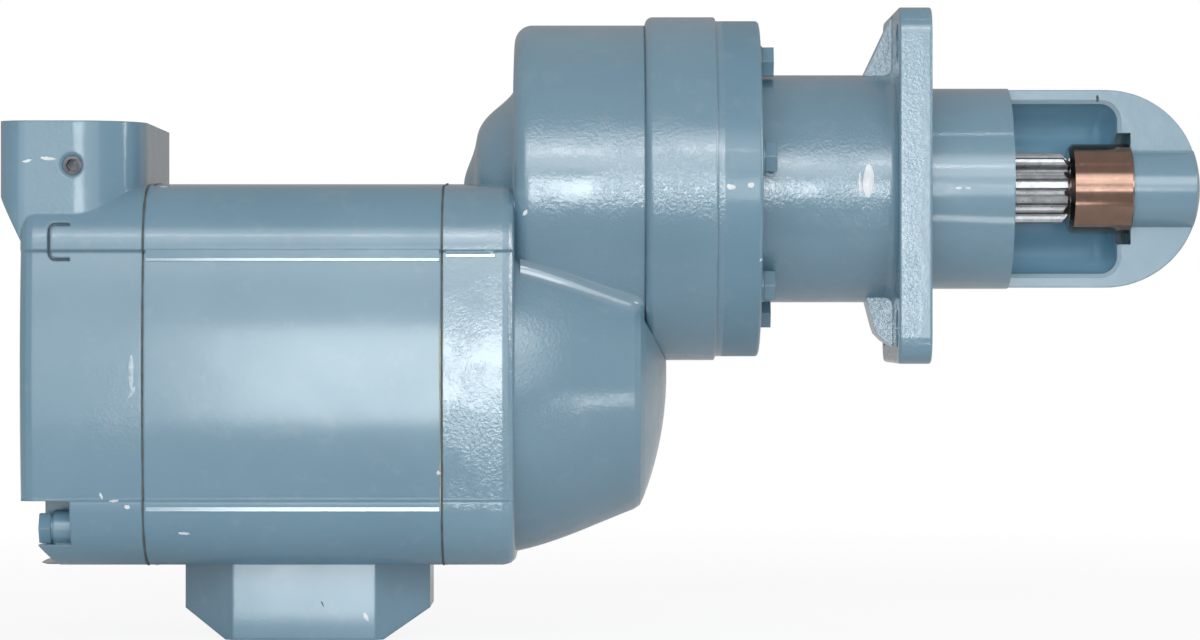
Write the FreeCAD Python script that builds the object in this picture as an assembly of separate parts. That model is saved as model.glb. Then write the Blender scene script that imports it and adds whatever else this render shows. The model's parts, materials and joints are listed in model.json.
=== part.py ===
"""Air starter: vane motor, offset gear case, one-way clutch, sliding pinion.

Millimetres. The origin is the centre of the mounting flange's front face, on the axis of
the drive shaft. +X points to the nose, +Z is up. The vane motor lies on a second axis
below the drive axis. The nose window looks towards -Y.
"""
import FreeCAD, Part
import math
import os
from FreeCAD import Vector

AXIS_X = Vector(1, 0, 0)

# Gears
gear_module = 2.5
motor_pinion_teeth = 20
drive_gear_teeth = 48
drive_pinion_teeth = 11
pressure_angle = math.radians(20)
tooth_backlash = 0.16
drive_gear_width = 24.0
motor_pinion_width = 26.0
motor_z = -gear_module * (motor_pinion_teeth + drive_gear_teeth) / 2

# Planes along the drive axis
cover_rear_x = -405.0
motor_rear_x = -350.0
motor_front_x = -218.5
gasket = 0.5
drum_rear_x = -187.5
drum_joint_x = -128.0
drum_front_x = -76.0
flange_thickness = 14.8
window_x = 38.5
cavity_end_x = 89.3
spot_face_x = 95.3
nose_end_x = 127.0

# Motor section: a square of bulging sides with a round lobe at each corner
section_half = 84.8
lobe_radius = 29.0
side_step = 1.5
side_bulge = 3.7
crease_half = 54.5
rim_round = 6.0
housing_wall = 12.8
bolt_inset = 17.0
bolt_radius = 4.0
bolt_head_across = 13.0
bolt_head_height = 5.3
bolt_washer = (6.5, 1.2)
bolt_seat_x = -391.0
socket_room = 1.8
bolt_end_x = -194.0
pocket_inset = (32.8, 29.5)
pocket_sill = 10.0
pocket_floor_x = -382.7
foot_x = -397.2
foot_slope = (8.0, 9.5)
pedestal_radius = 8.2
relief = ((-392.4, -34.2), (-382.6, -17.4))
relief_width = 1.3
relief_depth = 7.0
relief_round = 3.5

# Inlet block
block_rear_x = -415.0
block_front_x = -351.5
block_half_width = 80.0
block_top_z = 28.0
block_front_round = 30.0
block_rear_round = 12.0
block_slope_top_z = -5.0
block_slope_foot = (-401.0, -33.0)
inlet_x = -383.0
inlet_radius = 22.5
inlet_bottom_z = -30.0
mouth_chamfer = 1.5
plug_place = (-382.0, 8.2)
plug_radius = 4.3
plug_length = 9.0
plug_sunk = 0.8
plug_socket_across = 5.0
gauge_hole_radius = 2.0
plenum = (33.0, 69.0)
plenum_depth = 40.0

# Exhaust boss
exhaust_ahead = 2.85
boss_half_length = 55.6
boss_half_width = 50.0
boss_corner = (23.6, 27.0)
boss_chamfer = (20.0, 13.0)
boss_face_z = -204.0
exhaust_radius = 28.3
exhaust_thread_length = 24.0
exhaust_window = (46.0, 34.0)
exhaust_duct_radius = exhaust_radius - 3.0

# Vane motor
liner_wall = 10.0
bore_offset = 4.5
rotor_clearance = 0.5
end_plate = 12.0
end_clearance = 0.1
vane_count = 6
vane_thickness = 4.0
vane_height = 20.0
vane_clearance = 0.05
feed_slot = (28.0, 8.0)
feed_slot_end = 14.0
liner_port = (8.0, 22.0, 4, 6.0)
exhaust_slot = (7.0, 13.0, 4, 32.0)
dowel = (3.0, 7.0, 10.0, 2.0)
dowel_angle = 60.0
feed_wall = 3.0
shaft_rear_radius = 10.0
shaft_front_radius = 12.5
shaft_seat_radius = 11.0
shaft_thread_radius = 10.0
shaft_stub = 4.0
plate_shaft_gap = 2.0
bearing_set_back = 2.0
bearing_pocket_extra = 3.0
rotor_ring_depth = 1.0
key_size = (6.0, 6.0, 3.5)
key_end_margin = 3.0
key_top_clearance = 0.3
pinion_washer_size = (17.0, 2.0)
pinion_nut_size = (30.0, 8.0)
running = 0.02

# Bearings as inner radius, outer radius, width
small_bearing = (10.0, 23.5, 14.0)
motor_front_bearing = (12.5, 31.0, 17.0)
gear_front_bearing = (32.5, 50.0, 18.0)
output_bearing = (12.5, 23.5, 12.0)
shift_bearing_size = (15.0, 23.5, 9.0)
motor_seal = (12.5, 20.0, 7.0)
output_seal = (11.0, 17.5, 6.0)

# Gear housing
case_wall = 6.5
gear_clearance = 1.7
case_rim_round = 5.0
case_block_step = 1.0
drum_wall = 10.8
drum_round = 8.0
boss_dome = ((-211.0, 0.0), (-210.2, 7.0), (-207.4, 14.5), (-205.6, 20.5), (-204.3, 26.5), (-200.6, 32.6),
             (-194.0, 38.6), (-189.4, 43.0), (-186.5, 48.5))
bulge = ((-190.0, 82.0), (-178.0, 79.3), (-150.0, 69.1), (-133.0, 62.2))
bulge_corner = ((-130.2, 60.3), (-128.4, 56.5))
bulge_apex_x = -118.0
bulge_wall = 8.0

# Drive housing
band_step = 3.8
band_front_x = -96.0
band_round = 3.6
cover_step = 2.0
cover_round = 1.6
joint_width = 8.8
cover_wall = 10.0
neck_radius = 52.2
neck_fillet = 4.0
piston_bore = 44.0
guide_wall = (-22.0, -12.0)
flange_half_y = 62.0
flange_half_z = 80.0
flange_round = 12.0
flange_rim = 1.2
flange_hole_radius = 8.75
flange_hole_y = 46.0
flange_hole_z = 64.0
pilot_radius = 46.04
nose_step = 0.6
nose_radius = pilot_radius - nose_step
cavity_radius = 39.0
cavity_round = 8.0
cavity_chamfer = 1.8
cut_plane_y = -2.0
dome_radius = 43.0
dome_end_radius = 54.0
nose_boss_radius = 17.5
spot_face_radius = 25.6
gusset_width = 18.0
gusset_foot_x = -27.5
lug = ((-27.0, -50.0), (-23.6, -63.0), (-22.4, -66.5), (-18.9, -70.0), (-14.8, -72.2))
lug_width = 30.0

# Screws
carrier_screw_inset = 6.0
carrier_screw_start = 12.0
carrier_screw_count = 6
carrier_screw = (4.0, 13.0, 5.3)
carrier_washer = (7.4, 1.2)
rim_screw_inset = 4.7
rim_screw_start = 42.0
rim_screw_count = 6
rim_screw = (3.0, 5.0, 6.0)
rim_counterbore = (5.3, 8.0)
rim_screw_reach = 12.0

# Clutch and shafts
hub_radius = 38.0
race_radius = 27.05
roller_radius = 4.5
roller_count = 8
roller_clearance = 0.05
roller_inset = 8.0
clutch_span = (-158.0, -102.0)
clutch_room = 2.5
cage_half_wall = 2.5
cage_end = 4.0
cage_clearance = 0.2
gear_rear_x = -165.0
gear_rim = 10.0
gear_web_recess = 7.0
gear_web_hole_radius = 4.5
gear_web_holes = 6
hub_end_clearance = 1.2
bearing_gap = 0.5
spline_count = 6
hub_spline = (13.0, 11.4, 4.0)
pinion_spline = (8.5, 7.2, 3.0)
spline_clearance = 0.05
shaft_pilot = (9.0, 14.0)
pilot_bush_outer = 12.0
journal_radius = 7.5
collar_seat_radius = 8.0
shaft_end_x = 118.0
shaft_shoulder_radius = 15.0

# Pinion, collar and piston
pinion_tip_radius = 16.25
pinion_root_radius = 11.0
pinion_rear_x = 39.5
collar_rear_x = 66.3
collar_radius = 20.6
collar_chamfer = 2.0
collar_gap = 0.3
pinion_gap = 0.5
sleeve_end_margin = 1.2
sleeve_radius = 15.0
sleeve_bore = 9.2
piston_front_x = -38.0
piston_thickness = 14.0
piston_clearance = 0.05
piston_lip = 3.0
piston_sleeve_gap = 4.0
piston_seal_insets = (4.5, 3.5)
seal_groove = (1.4, 2.4)
spring_seat = (3.0, 2.0)
spring_wire = 2.6
spring_wire_sides = 8
spring_radius = 32.0
spring_turns = 4
ring_thickness = 1.5
bush_outer = 11.5
guide_bush_outer = 20.0
seal_section = 1.1

liner_outer = section_half - housing_wall
bolt_offset = section_half - bolt_inset
bore_radius = liner_outer - liner_wall
rotor_radius = bore_radius - bore_offset - rotor_clearance
exhaust_x = (motor_rear_x + motor_front_x) / 2 + exhaust_ahead
gear_tip_radius = gear_module * (drive_gear_teeth + 2) / 2
chamber_radius = gear_tip_radius + gear_clearance
drum_radius = chamber_radius + drum_wall
cover_bore = drum_radius - joint_width
band_radius = drum_radius + band_step
cover_radius = drum_radius + cover_step
carrier_screw_circle = cover_bore - carrier_screw_inset
rim_screw_circle = drum_radius - rim_screw_inset
cover_front_x = motor_rear_x - gasket
case_rear_x = motor_front_x + gasket
case_front_x = drum_joint_x - gasket
chamber_rear_x = drum_rear_x + case_wall
case_bearing_rear_x = chamber_rear_x - bearing_set_back - small_bearing[2]
cover_bearing_x = cover_front_x - bearing_set_back - small_bearing[2]
rotor_ring_x = cover_bearing_x - ring_thickness - bearing_gap
gear_x = (gear_rear_x, gear_rear_x + drive_gear_width)
pinion_overhang = (motor_pinion_width - drive_gear_width) / 2
pinion_x = (gear_x[0] - pinion_overhang, gear_x[1] + pinion_overhang)
roller_span = (clutch_span[0] + roller_inset, clutch_span[1] - roller_inset)
roller_circle = race_radius - roller_clearance - roller_radius
clutch_hub_radius = roller_circle - roller_radius - roller_clearance
clutch_cavity_x = clutch_span[0] - clutch_room
carrier_x = (-98.0, drum_front_x - cover_wall)
carrier_spigot_x = carrier_x[1] + output_seal[2]
lobe_centre = section_half - lobe_radius


def moved(shape, y=0.0, z=0.0):
    """A copy of the shape shifted across the drive axis."""
    copy = shape.copy()
    copy.translate(Vector(0, y, z))
    return copy


def rod(x0, x1, radius, y=0.0, z=0.0):
    """A plain cylinder along X."""
    return Part.makeCylinder(radius, x1 - x0, Vector(x0, y, z), AXIS_X)


def ring(x0, x1, outer, inner, y=0.0, z=0.0):
    """A tube along X."""
    return rod(x0, x1, outer, y, z).cut(rod(x0 - 1, x1 + 1, inner, y, z))


def slab(x0, x1, y0, y1, z0, z1):
    """A box between two corners."""
    return Part.makeBox(x1 - x0, y1 - y0, z1 - z0, Vector(x0, y0, z0))


def polygon_xz(points, width, y=0.0):
    """A plate whose outline is given in X and Z, centred on y."""
    corners = [Vector(px, y - width / 2, pz) for px, pz in points]
    face = Part.Face(Part.makePolygon(corners + corners[:1]))
    return face.extrude(Vector(0, width, 0))


def turned(edges, z=0.0):
    """A solid of revolution about an axis along X from a closed outline above it."""
    face = Part.Face(Part.Wire(Part.__sortEdges__(edges)))
    return face.revolve(Vector(0, 0, z), AXIS_X, 360)


def chain(points):
    """Straight edges through points given as x and radius, measured up from z."""
    ends = [Vector(px, 0, pz) for px, pz in points]
    return [Part.LineSegment(a, b).toShape() for a, b in zip(ends, ends[1:])]


def smooth(points):
    """One smooth curve through points given as x and height."""
    curve = Part.BSplineCurve()
    curve.interpolate([Vector(px, 0, pz) for px, pz in points])
    return curve.toShape()


def turned_profile(points, z=0.0):
    """A solid of revolution from straight runs of x and radius."""
    closed = [(px, z + radius) for px, radius in list(points) + [points[0]]]
    return turned(chain(closed), z)


def hexagon(x0, x1, across, y=0.0, z=0.0):
    """A hexagonal prism along X with one flat facing up."""
    corner = across / math.sqrt(3)
    points = []
    for k in range(7):
        angle = math.radians(60 * k)
        points.append(Vector(x0, y + corner * math.cos(angle), z + corner * math.sin(angle)))
    return Part.Face(Part.makePolygon(points)).extrude(Vector(x1 - x0, 0, 0))


def around(count, radius, start_degrees, z=0.0):
    """Places on a circle. Angle 0 is -Y and 90 is up."""
    places = []
    for k in range(count):
        angle = math.radians(start_degrees + 360.0 * k / count)
        places.append((-radius * math.cos(angle), z + radius * math.sin(angle)))
    return places


def rim_screw_places():
    """The drum's rim screws, left out where the motor pinion's chamber opens the rim."""
    places = around(rim_screw_count, rim_screw_circle, rim_screw_start)
    return [(y, z) for y, z in places if math.hypot(y, z - motor_z) > bulge[3][1] - rim_screw[0] - 3.0]


def fused(shapes):
    """One solid from shapes that touch or overlap."""
    return shapes[0].fuse(shapes[1:]).removeSplitter() if len(shapes) > 1 else shapes[0]


def group(shapes):
    """Separate solids that share one node."""
    return Part.makeCompound(shapes)


def torus(x, radius, section, z=0.0):
    """A round-section sealing ring."""
    return Part.makeTorus(radius, section, Vector(x, 0, z), AXIS_X)


def bearing(x0, size, z=0.0):
    """A sealed ball bearing: two rings with a sunk shield on each side."""
    inner, outer, width = size
    body = ring(x0, x0 + width, outer, inner + running, z=z)
    wall = (outer - inner) * 0.24
    for x in (x0, x0 + width - 0.6):
        body = body.cut(ring(x, x + 0.6, outer - wall, inner + wall, z=z))
    return body


def lip_seal(x0, size, z=0.0):
    """A shaft seal: a cup with a lip that runs on the shaft."""
    inner, outer, width = size
    body = ring(x0, x0 + width, outer, inner + running, z=z)
    return body.cut(ring(x0 + 1.2, x0 + width + 1, outer - 1.8, inner + 2.0, z=z))


def snap_ring(x0, inner, outer, z=0.0):
    """A retaining ring with a gap at the top."""
    body = ring(x0, x0 + ring_thickness, outer, inner, z=z)
    return body.cut(slab(x0 - 1, x0 + ring_thickness + 1, -2, 2, z, z + outer + 1))


def involute_point(base, radius, start):
    """A point of an involute flank, turned by start."""
    roll = math.sqrt(max(radius * radius / (base * base) - 1, 0))
    angle = start + roll - math.atan(roll)
    return radius * math.cos(angle), radius * math.sin(angle)


def gear_disc(teeth, tip, root, x0, x1, first_tooth_degrees, z=0.0):
    """A spur gear along X with involute flanks."""
    pitch = gear_module * teeth / 2
    base = pitch * math.cos(pressure_angle)
    slope = math.tan(pressure_angle) - pressure_angle
    half = math.pi / (2 * teeth) - tooth_backlash / (2 * pitch) + slope
    first = max(root, base)
    radii = [first + (tip - first) * k / 3 for k in range(4)]
    outline = []
    for tooth in range(teeth):
        centre = math.radians(first_tooth_degrees) + 2 * math.pi * tooth / teeth
        side = [involute_point(base, r, -half) for r in radii]
        if root < base:
            side = [(root * math.cos(half), -root * math.sin(half))] + side
        whole = side + [(a, -b) for a, b in reversed(side)]
        for a, b in whole:
            y = a * math.cos(centre) - b * math.sin(centre)
            dz = a * math.sin(centre) + b * math.cos(centre)
            outline.append(Vector(x0, y, z + dz))
    face = Part.Face(Part.makePolygon(outline + outline[:1]))
    return face.extrude(Vector(x1 - x0, 0, 0))


def splined(x0, x1, size, grow=0.0):
    """A straight-sided splined bar: major radius, minor radius, key width."""
    major, minor, width = size
    keys = rod(x0, x1, minor + grow)
    for k in range(spline_count):
        key = slab(x0, x1, -width / 2 - grow, width / 2 + grow, 0, major + grow)
        key.rotate(Vector(0, 0, 0), AXIS_X, 360.0 * k / spline_count)
        keys = keys.fuse(key)
    return keys.common(rod(x0, x1, major + grow)).removeSplitter()


def section_wire(x, inset=0.0):
    """The lobed square of the motor, drawn about the motor axis."""
    side = section_half - side_step - inset
    middle = side + side_bulge
    reach = lobe_centre + lobe_radius - inset
    corner = lobe_centre + (lobe_radius - inset) * math.sqrt(0.5)
    edges = []
    for turn in range(4):
        angle = math.pi / 2 * turn

        def at(u, v):
            y = u * math.cos(angle) - v * math.sin(angle)
            dz = u * math.sin(angle) + v * math.cos(angle)
            return Vector(x, y, motor_z + dz)

        edges.append(Part.Arc(at(side, -crease_half), at(middle, 0), at(side, crease_half)).toShape())
        edges.append(Part.LineSegment(at(side, crease_half), at(reach, lobe_centre)).toShape())
        edges.append(Part.Arc(at(reach, lobe_centre), at(corner, corner), at(lobe_centre, reach)).toShape())
        edges.append(Part.LineSegment(at(lobe_centre, reach), at(crease_half, side)).toShape())
    return Part.Wire(edges)


def section_prism(x0, x1):
    """A straight length of the motor section."""
    return Part.Face(section_wire(x0)).extrude(Vector(x1 - x0, 0, 0))


def rounded_end(x_flat, x_full, depth):
    """The rounded rim from the full section at x_full to the inset end face at x_flat."""
    wires = []
    for step in range(4):
        angle = math.radians(90 * step / 3)
        x = x_full + (x_flat - x_full) * math.sin(angle)
        wires.append(section_wire(x, depth * (1 - math.cos(angle))))
    return [Part.makeLoft(list(pair), True, True) for pair in zip(wires, wires[1:])]


def bolt_places():
    """The four tie bolts about the motor axis."""
    return [(y, motor_z + z) for y in (-bolt_offset, bolt_offset) for z in (-bolt_offset, bolt_offset)]


def make_rear_cover():
    body = [section_prism(cover_rear_x + rim_round, cover_front_x)]
    body += rounded_end(cover_rear_x, cover_rear_x + rim_round, rim_round)
    cover = fused(body)
    foot_x, foot_z = block_slope_foot
    outline = [(block_rear_x, block_top_z), (block_front_x, block_top_z), (block_front_x, foot_z),
               (foot_x, foot_z), (block_rear_x, block_slope_top_z)]
    block = polygon_xz(outline, 2 * block_half_width)
    plan = slab(block_rear_x, block_front_x, -block_half_width, block_half_width, foot_z, block_top_z)
    front_edges = []
    rear_edges = []
    for edge in plan.Edges:
        box = edge.BoundBox
        if box.ZLength > 1 and box.XMin > block_front_x - 1:
            front_edges.append(edge)
    plan = plan.makeFillet(block_front_round, front_edges)
    for edge in plan.Edges:
        box = edge.BoundBox
        if box.ZLength > 1 and box.XLength < 0.01 and box.XMax < block_rear_x + 1:
            rear_edges.append(edge)
    plan = plan.makeFillet(block_rear_round, rear_edges)
    cover = cover.fuse(block.common(plan))
    cover = cover.cut(cover_pockets())
    for y, z in bolt_places():
        cover = cover.cut(rod(cover_rear_x, cover_front_x, bolt_radius + 0.3, y, z))
        if z > motor_z:
            cover = cover.cut(rod(block_rear_x - 1, bolt_seat_x, bolt_washer[0] + socket_room, y, z))
    deep = cover_front_x - plenum_depth
    cover = cover.cut(ring(deep, cover_front_x + 1, plenum[1], plenum[0], z=motor_z))
    cover = cover.cut(rod(cover_bearing_x, cover_front_x + 1, small_bearing[1], z=motor_z))
    pocket_radius = shaft_rear_radius + bearing_pocket_extra
    cover = cover.cut(rod(cover_bearing_x - 2 * shaft_stub, cover_bearing_x, pocket_radius, z=motor_z))
    inlet_height = block_top_z - inlet_bottom_z
    inlet = Part.makeCylinder(inlet_radius, inlet_height, Vector(inlet_x, 0, inlet_bottom_z))
    mouth = Part.makeCone(inlet_radius, inlet_radius + mouth_chamfer, mouth_chamfer,
                          Vector(inlet_x, 0, block_top_z - mouth_chamfer))
    cover = cover.cut(inlet).cut(mouth)
    plug_x, plug_z = plug_place
    out = Vector(0, 1, 0)
    start = Vector(plug_x, -block_half_width - 1, plug_z)
    cover = cover.cut(Part.makeCylinder(plug_radius, plug_sunk + plug_length + 1, start, out))
    cover = cover.cut(Part.makeCylinder(gauge_hole_radius, block_half_width, start, out))
    rim = Part.makeCone(plug_radius + 1.6, plug_radius, 1.0, Vector(plug_x, -block_half_width, plug_z), out)
    return cover.cut(rim)


def cover_pockets():
    """What is cut from the cover round the bolt heads: the foot, both lower pockets and the relief lines."""
    inset_y, inset_z = pocket_inset
    low = motor_z - section_half
    wide = section_half + 5
    run, rise = foot_slope
    foot = [(cover_rear_x - 1, low + inset_z), (foot_x, low + inset_z), (foot_x, low + rise),
            (foot_x + run, low - 0.5), (cover_rear_x - 1, low - 0.5)]
    cuts = [polygon_xz(foot, 2 * wide)]
    for y, z in bolt_places():
        side = math.copysign(1, y)
        if z < motor_z:
            y0, y1 = sorted((side * (section_half - inset_y), side * wide))
            pocket = slab(foot_x - 1, pocket_floor_x, y0, y1, low + pocket_sill, low + inset_z)
            cuts.append(pocket.cut(rod(bolt_seat_x, pocket_floor_x + 1, pedestal_radius, y, z)))
            continue
        y0, y1 = sorted((side * (section_half - relief_depth), side * wide))
        (x0, z0), (x1, z1) = relief
        outer = slab(x0, x1 + 10, y0, y1, z0, z1)
        inner = slab(x0 + relief_width, x1 + 10, y0 - 1, y1 + 1, z0 + relief_width, z1 - relief_width)
        outer = outer.makeFillet(relief_round, rear_edges_along_y(outer))
        inner = inner.makeFillet(relief_round - relief_width, rear_edges_along_y(inner))
        cuts.append(outer.cut(inner).common(slab(x0 - 1, x1, y0, y1, z0, z1)))
    return cuts


def rear_edges_along_y(shape):
    """The edges along Y at the shape's rear end."""
    rear = shape.BoundBox.XMin + 0.01
    return [e for e in shape.Edges if e.BoundBox.YLength > 1 and e.BoundBox.XMax < rear]


def make_inlet_plug():
    plug_x, plug_z = plug_place
    out = Vector(0, 1, 0)
    face_y = -block_half_width + plug_sunk
    plug = Part.makeCylinder(plug_radius, plug_length, Vector(plug_x, face_y, plug_z), out)
    socket = hexagon(0, 4.0, plug_socket_across)
    socket.rotate(Vector(0, 0, 0), Vector(0, 0, 1), 90)
    socket.translate(Vector(plug_x, face_y - 0.01, plug_z))
    return plug.cut(socket)


def make_motor_housing():
    body = section_prism(motor_rear_x, motor_front_x)
    half, wide = boss_half_length, boss_half_width
    cut_x, cut_y = boss_corner
    plan = []
    for sx, sy in ((1, 1), (-1, 1), (-1, -1), (1, -1)):
        pair = [(sx * half, sy * (wide - cut_y)), (sx * (half - cut_x), sy * wide)]
        plan += pair if sx * sy > 0 else pair[::-1]
    corners = [Vector(exhaust_x + px, py, boss_face_z) for px, py in plan]
    boss = Part.Face(Part.makePolygon(corners + corners[:1])).extrude(Vector(0, 0, motor_z - boss_face_z - 40))
    in_x, up_z = boss_chamfer
    side = [(exhaust_x - half, motor_z), (exhaust_x - half, boss_face_z + up_z),
            (exhaust_x - half + in_x, boss_face_z), (exhaust_x + half - in_x, boss_face_z),
            (exhaust_x + half, boss_face_z + up_z), (exhaust_x + half, motor_z)]
    boss = boss.common(polygon_xz(side, 2 * wide + 2))
    body = body.fuse(boss)
    body = body.cut(rod(motor_rear_x - 1, motor_front_x + 1, liner_outer, z=motor_z))
    for y, z in bolt_places():
        body = body.cut(rod(motor_rear_x - 1, motor_front_x + 1, bolt_radius + 0.3, y, z))
    port = Part.makeCylinder(exhaust_radius, exhaust_thread_length, Vector(exhaust_x, 0, boss_face_z))
    mouth = Part.makeCone(exhaust_radius + mouth_chamfer, exhaust_radius, mouth_chamfer,
                          Vector(exhaust_x, 0, boss_face_z))
    length, width = exhaust_window
    duct = slab(exhaust_x - length / 2, exhaust_x + length / 2, -width / 2, width / 2,
                boss_face_z + exhaust_thread_length, motor_z - liner_outer + 12)
    height = motor_z - boss_face_z
    round_duct = Part.makeCylinder(exhaust_duct_radius, height, Vector(exhaust_x, 0, boss_face_z))
    return body.cut(port).cut(mouth).cut(duct.common(round_duct))


def gasket_plate(x, hole):
    """A thin gasket of the motor section."""
    plate = section_prism(x, x + gasket).cut(rod(x - 1, x + 1, hole, z=motor_z))
    for y, z in bolt_places():
        plate = plate.cut(rod(x - 1, x + 1, bolt_radius + 0.3, y, z))
    return plate


def make_tie_bolts():
    bolts = []
    for y, z in bolt_places():
        head_x = bolt_seat_x - bolt_washer[1]
        head = hexagon(head_x - bolt_head_height, head_x, bolt_head_across, y, z)
        bolts.append(head.fuse(rod(head_x, bolt_end_x, bolt_radius, y, z)))
    return group([b.removeSplitter() for b in bolts])


def make_tie_bolt_washers():
    outer, thick = bolt_washer
    return group([ring(bolt_seat_x - thick, bolt_seat_x, outer, bolt_radius + 0.3, y, z)
                  for y, z in bolt_places()])


def make_gear_housing():
    block_x = drum_rear_x + case_block_step
    block = [section_prism(case_rear_x, block_x - case_rim_round)]
    block += rounded_end(block_x, block_x - case_rim_round, case_rim_round)
    round_x = drum_rear_x + drum_round
    corner = drum_radius - drum_round
    turn = math.sqrt(0.5) * drum_round
    drum = chain([(drum_rear_x, corner), (drum_rear_x, 0), (case_front_x, 0),
                  (case_front_x, drum_radius), (round_x, drum_radius)])
    drum.append(Part.Arc(Vector(round_x, 0, drum_radius), Vector(round_x - turn, 0, corner + turn),
                         Vector(drum_rear_x, 0, corner)).toShape())
    dome_start = bulge_corner[-1]
    side = [(px, motor_z + radius) for px, radius in bulge]
    corner_run = [side[-1]] + [(px, motor_z + radius) for px, radius in bulge_corner]
    sag = dome_start[0] - bulge_apex_x
    sphere = (dome_start[1] ** 2 + sag ** 2) / (2 * abs(sag))
    mid_r = dome_start[1] / 2
    mid_x = bulge_apex_x - sphere + math.sqrt(sphere ** 2 - mid_r ** 2)
    bulge_edges = chain([(side[0][0], motor_z), side[0]]) + [smooth(side)] + chain(corner_run)
    bulge_edges.append(Part.Arc(Vector(dome_start[0], 0, motor_z + dome_start[1]),
                                Vector(mid_x, 0, motor_z + mid_r),
                                Vector(bulge_apex_x, 0, motor_z)).toShape())
    bulge_edges += chain([(bulge_apex_x, motor_z), (bulge[0][0], motor_z)])
    pod = turned(bulge_edges, motor_z)
    pod = pod.cut(rod(case_front_x, bulge_apex_x + 2, band_radius + 0.3))
    dome_end = boss_dome[-1]
    dome = turned([smooth(boss_dome)] + chain([dome_end, (dome_end[0], 0), boss_dome[0]]))
    shell = fused(block + [dome, turned(drum), pod])
    inner = [(chamber_rear_x, 0), (chamber_rear_x, bulge[0][1] - bulge_wall - 1.5)]
    inner += [(px, radius - bulge_wall) for px, radius in bulge[1:]]
    inner += [(case_front_x - 0.3, bulge_corner[0][1] - bulge_wall - 5.0), (case_front_x - 0.3, 0)]
    shell = shell.cut(turned_profile(inner, motor_z))
    shell = shell.cut(rod(chamber_rear_x, case_front_x + 1, chamber_radius))
    shell = shell.cut(rod(case_rear_x - 1, case_rear_x + motor_front_bearing[2], motor_front_bearing[1],
                          z=motor_z))
    seal_x = case_rear_x + motor_front_bearing[2]
    shell = shell.cut(rod(seal_x - 1, seal_x + motor_seal[2], motor_seal[1], z=motor_z))
    shell = shell.cut(rod(seal_x, chamber_rear_x + 1, motor_seal[0] + 2.0, z=motor_z))
    shell = shell.cut(rod(case_bearing_rear_x, chamber_rear_x + 1, small_bearing[1]))
    for y, z in bolt_places():
        shell = shell.cut(rod(case_rear_x - 1, bolt_end_x, bolt_radius, y, z))
    for y, z in rim_screw_places():
        shell = shell.cut(rod(case_front_x - rim_screw_reach, case_front_x + 1, rim_screw[0], y, z))
    return shell


def make_drive_housing():
    rear, front = band_round, cover_round
    turn = 1 - math.sqrt(0.5)
    shoulders = chain([(drum_joint_x + rear, band_radius), (band_front_x - 0.6, band_radius),
                       (band_front_x, band_radius - 0.6), (band_front_x, cover_radius),
                       (drum_front_x - front, cover_radius)])
    shoulders.append(Part.Arc(Vector(drum_front_x - front, 0, cover_radius),
                              Vector(drum_front_x - front * turn, 0, cover_radius - front * turn),
                              Vector(drum_front_x, 0, cover_radius - front)).toShape())
    shoulders += chain([(drum_front_x, cover_radius - front), (drum_front_x, 0), (drum_joint_x, 0),
                        (drum_joint_x, band_radius - rear)])
    shoulders.append(Part.Arc(Vector(drum_joint_x, 0, band_radius - rear),
                              Vector(drum_joint_x + rear * turn, 0, band_radius - rear * turn),
                              Vector(drum_joint_x + rear, 0, band_radius)).toShape())
    body = [turned(shoulders)]
    flange_rear = -flange_thickness
    body.append(rod(drum_front_x, flange_rear, neck_radius))
    turn = neck_fillet * (1 - math.sqrt(0.5))
    fillet = chain([(flange_rear - neck_fillet, neck_radius), (flange_rear - neck_fillet, 0),
                    (flange_rear, 0), (flange_rear, neck_radius + neck_fillet)])
    fillet.append(Part.Arc(Vector(flange_rear, 0, neck_radius + neck_fillet),
                           Vector(flange_rear - turn, 0, neck_radius + turn),
                           Vector(flange_rear - neck_fillet, 0, neck_radius)).toShape())
    body.append(turned(fillet))
    plate = slab(flange_rear, 0, -flange_half_y, flange_half_y, -flange_half_z, flange_half_z)
    plate = plate.makeFillet(flange_round, [e for e in plate.Edges if e.BoundBox.XLength > 1])
    plate = plate.makeFillet(flange_rim, [e for e in plate.Edges if e.BoundBox.XLength < 0.01])
    body.append(plate)
    gusset = [(gusset_foot_x, neck_radius - 6), (gusset_foot_x, neck_radius),
              (flange_rear, flange_half_z - 1), (flange_rear, neck_radius - 6)]
    body.append(polygon_xz(gusset, gusset_width))
    body.append(polygon_xz(list(lug) + [(flange_rear, -neck_radius + 6)], lug_width))
    housing = fused(body)
    housing = housing.cut(rod(drum_joint_x - 1, carrier_x[1], cover_bore))
    housing = housing.cut(rod(carrier_x[1] - 1, guide_wall[0], piston_bore))
    housing = housing.cut(rod(guide_wall[0] - 1, guide_wall[1] + 1, guide_bush_outer))
    housing = housing.cut(rod(guide_wall[1], 1, cavity_radius))
    housing = housing.fuse(make_nose()).removeSplitter()
    for y in (-flange_hole_y, flange_hole_y):
        for z in (-flange_hole_z, flange_hole_z):
            housing = housing.cut(rod(flange_rear - 1, 1, flange_hole_radius, y, z))
    for y, z in around(carrier_screw_count, carrier_screw_circle, carrier_screw_start):
        housing = housing.cut(rod(carrier_x[1] - 1, drum_front_x + 1, carrier_screw[0] + 0.25, y, z))
    for y, z in rim_screw_places():
        housing = housing.cut(rod(drum_joint_x - 1, drum_front_x + 1, rim_screw[0] + 0.2, y, z))
        bore, depth = rim_counterbore
        housing = housing.cut(rod(drum_front_x - depth, drum_front_x + 1, bore, y, z))
    return housing


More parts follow.
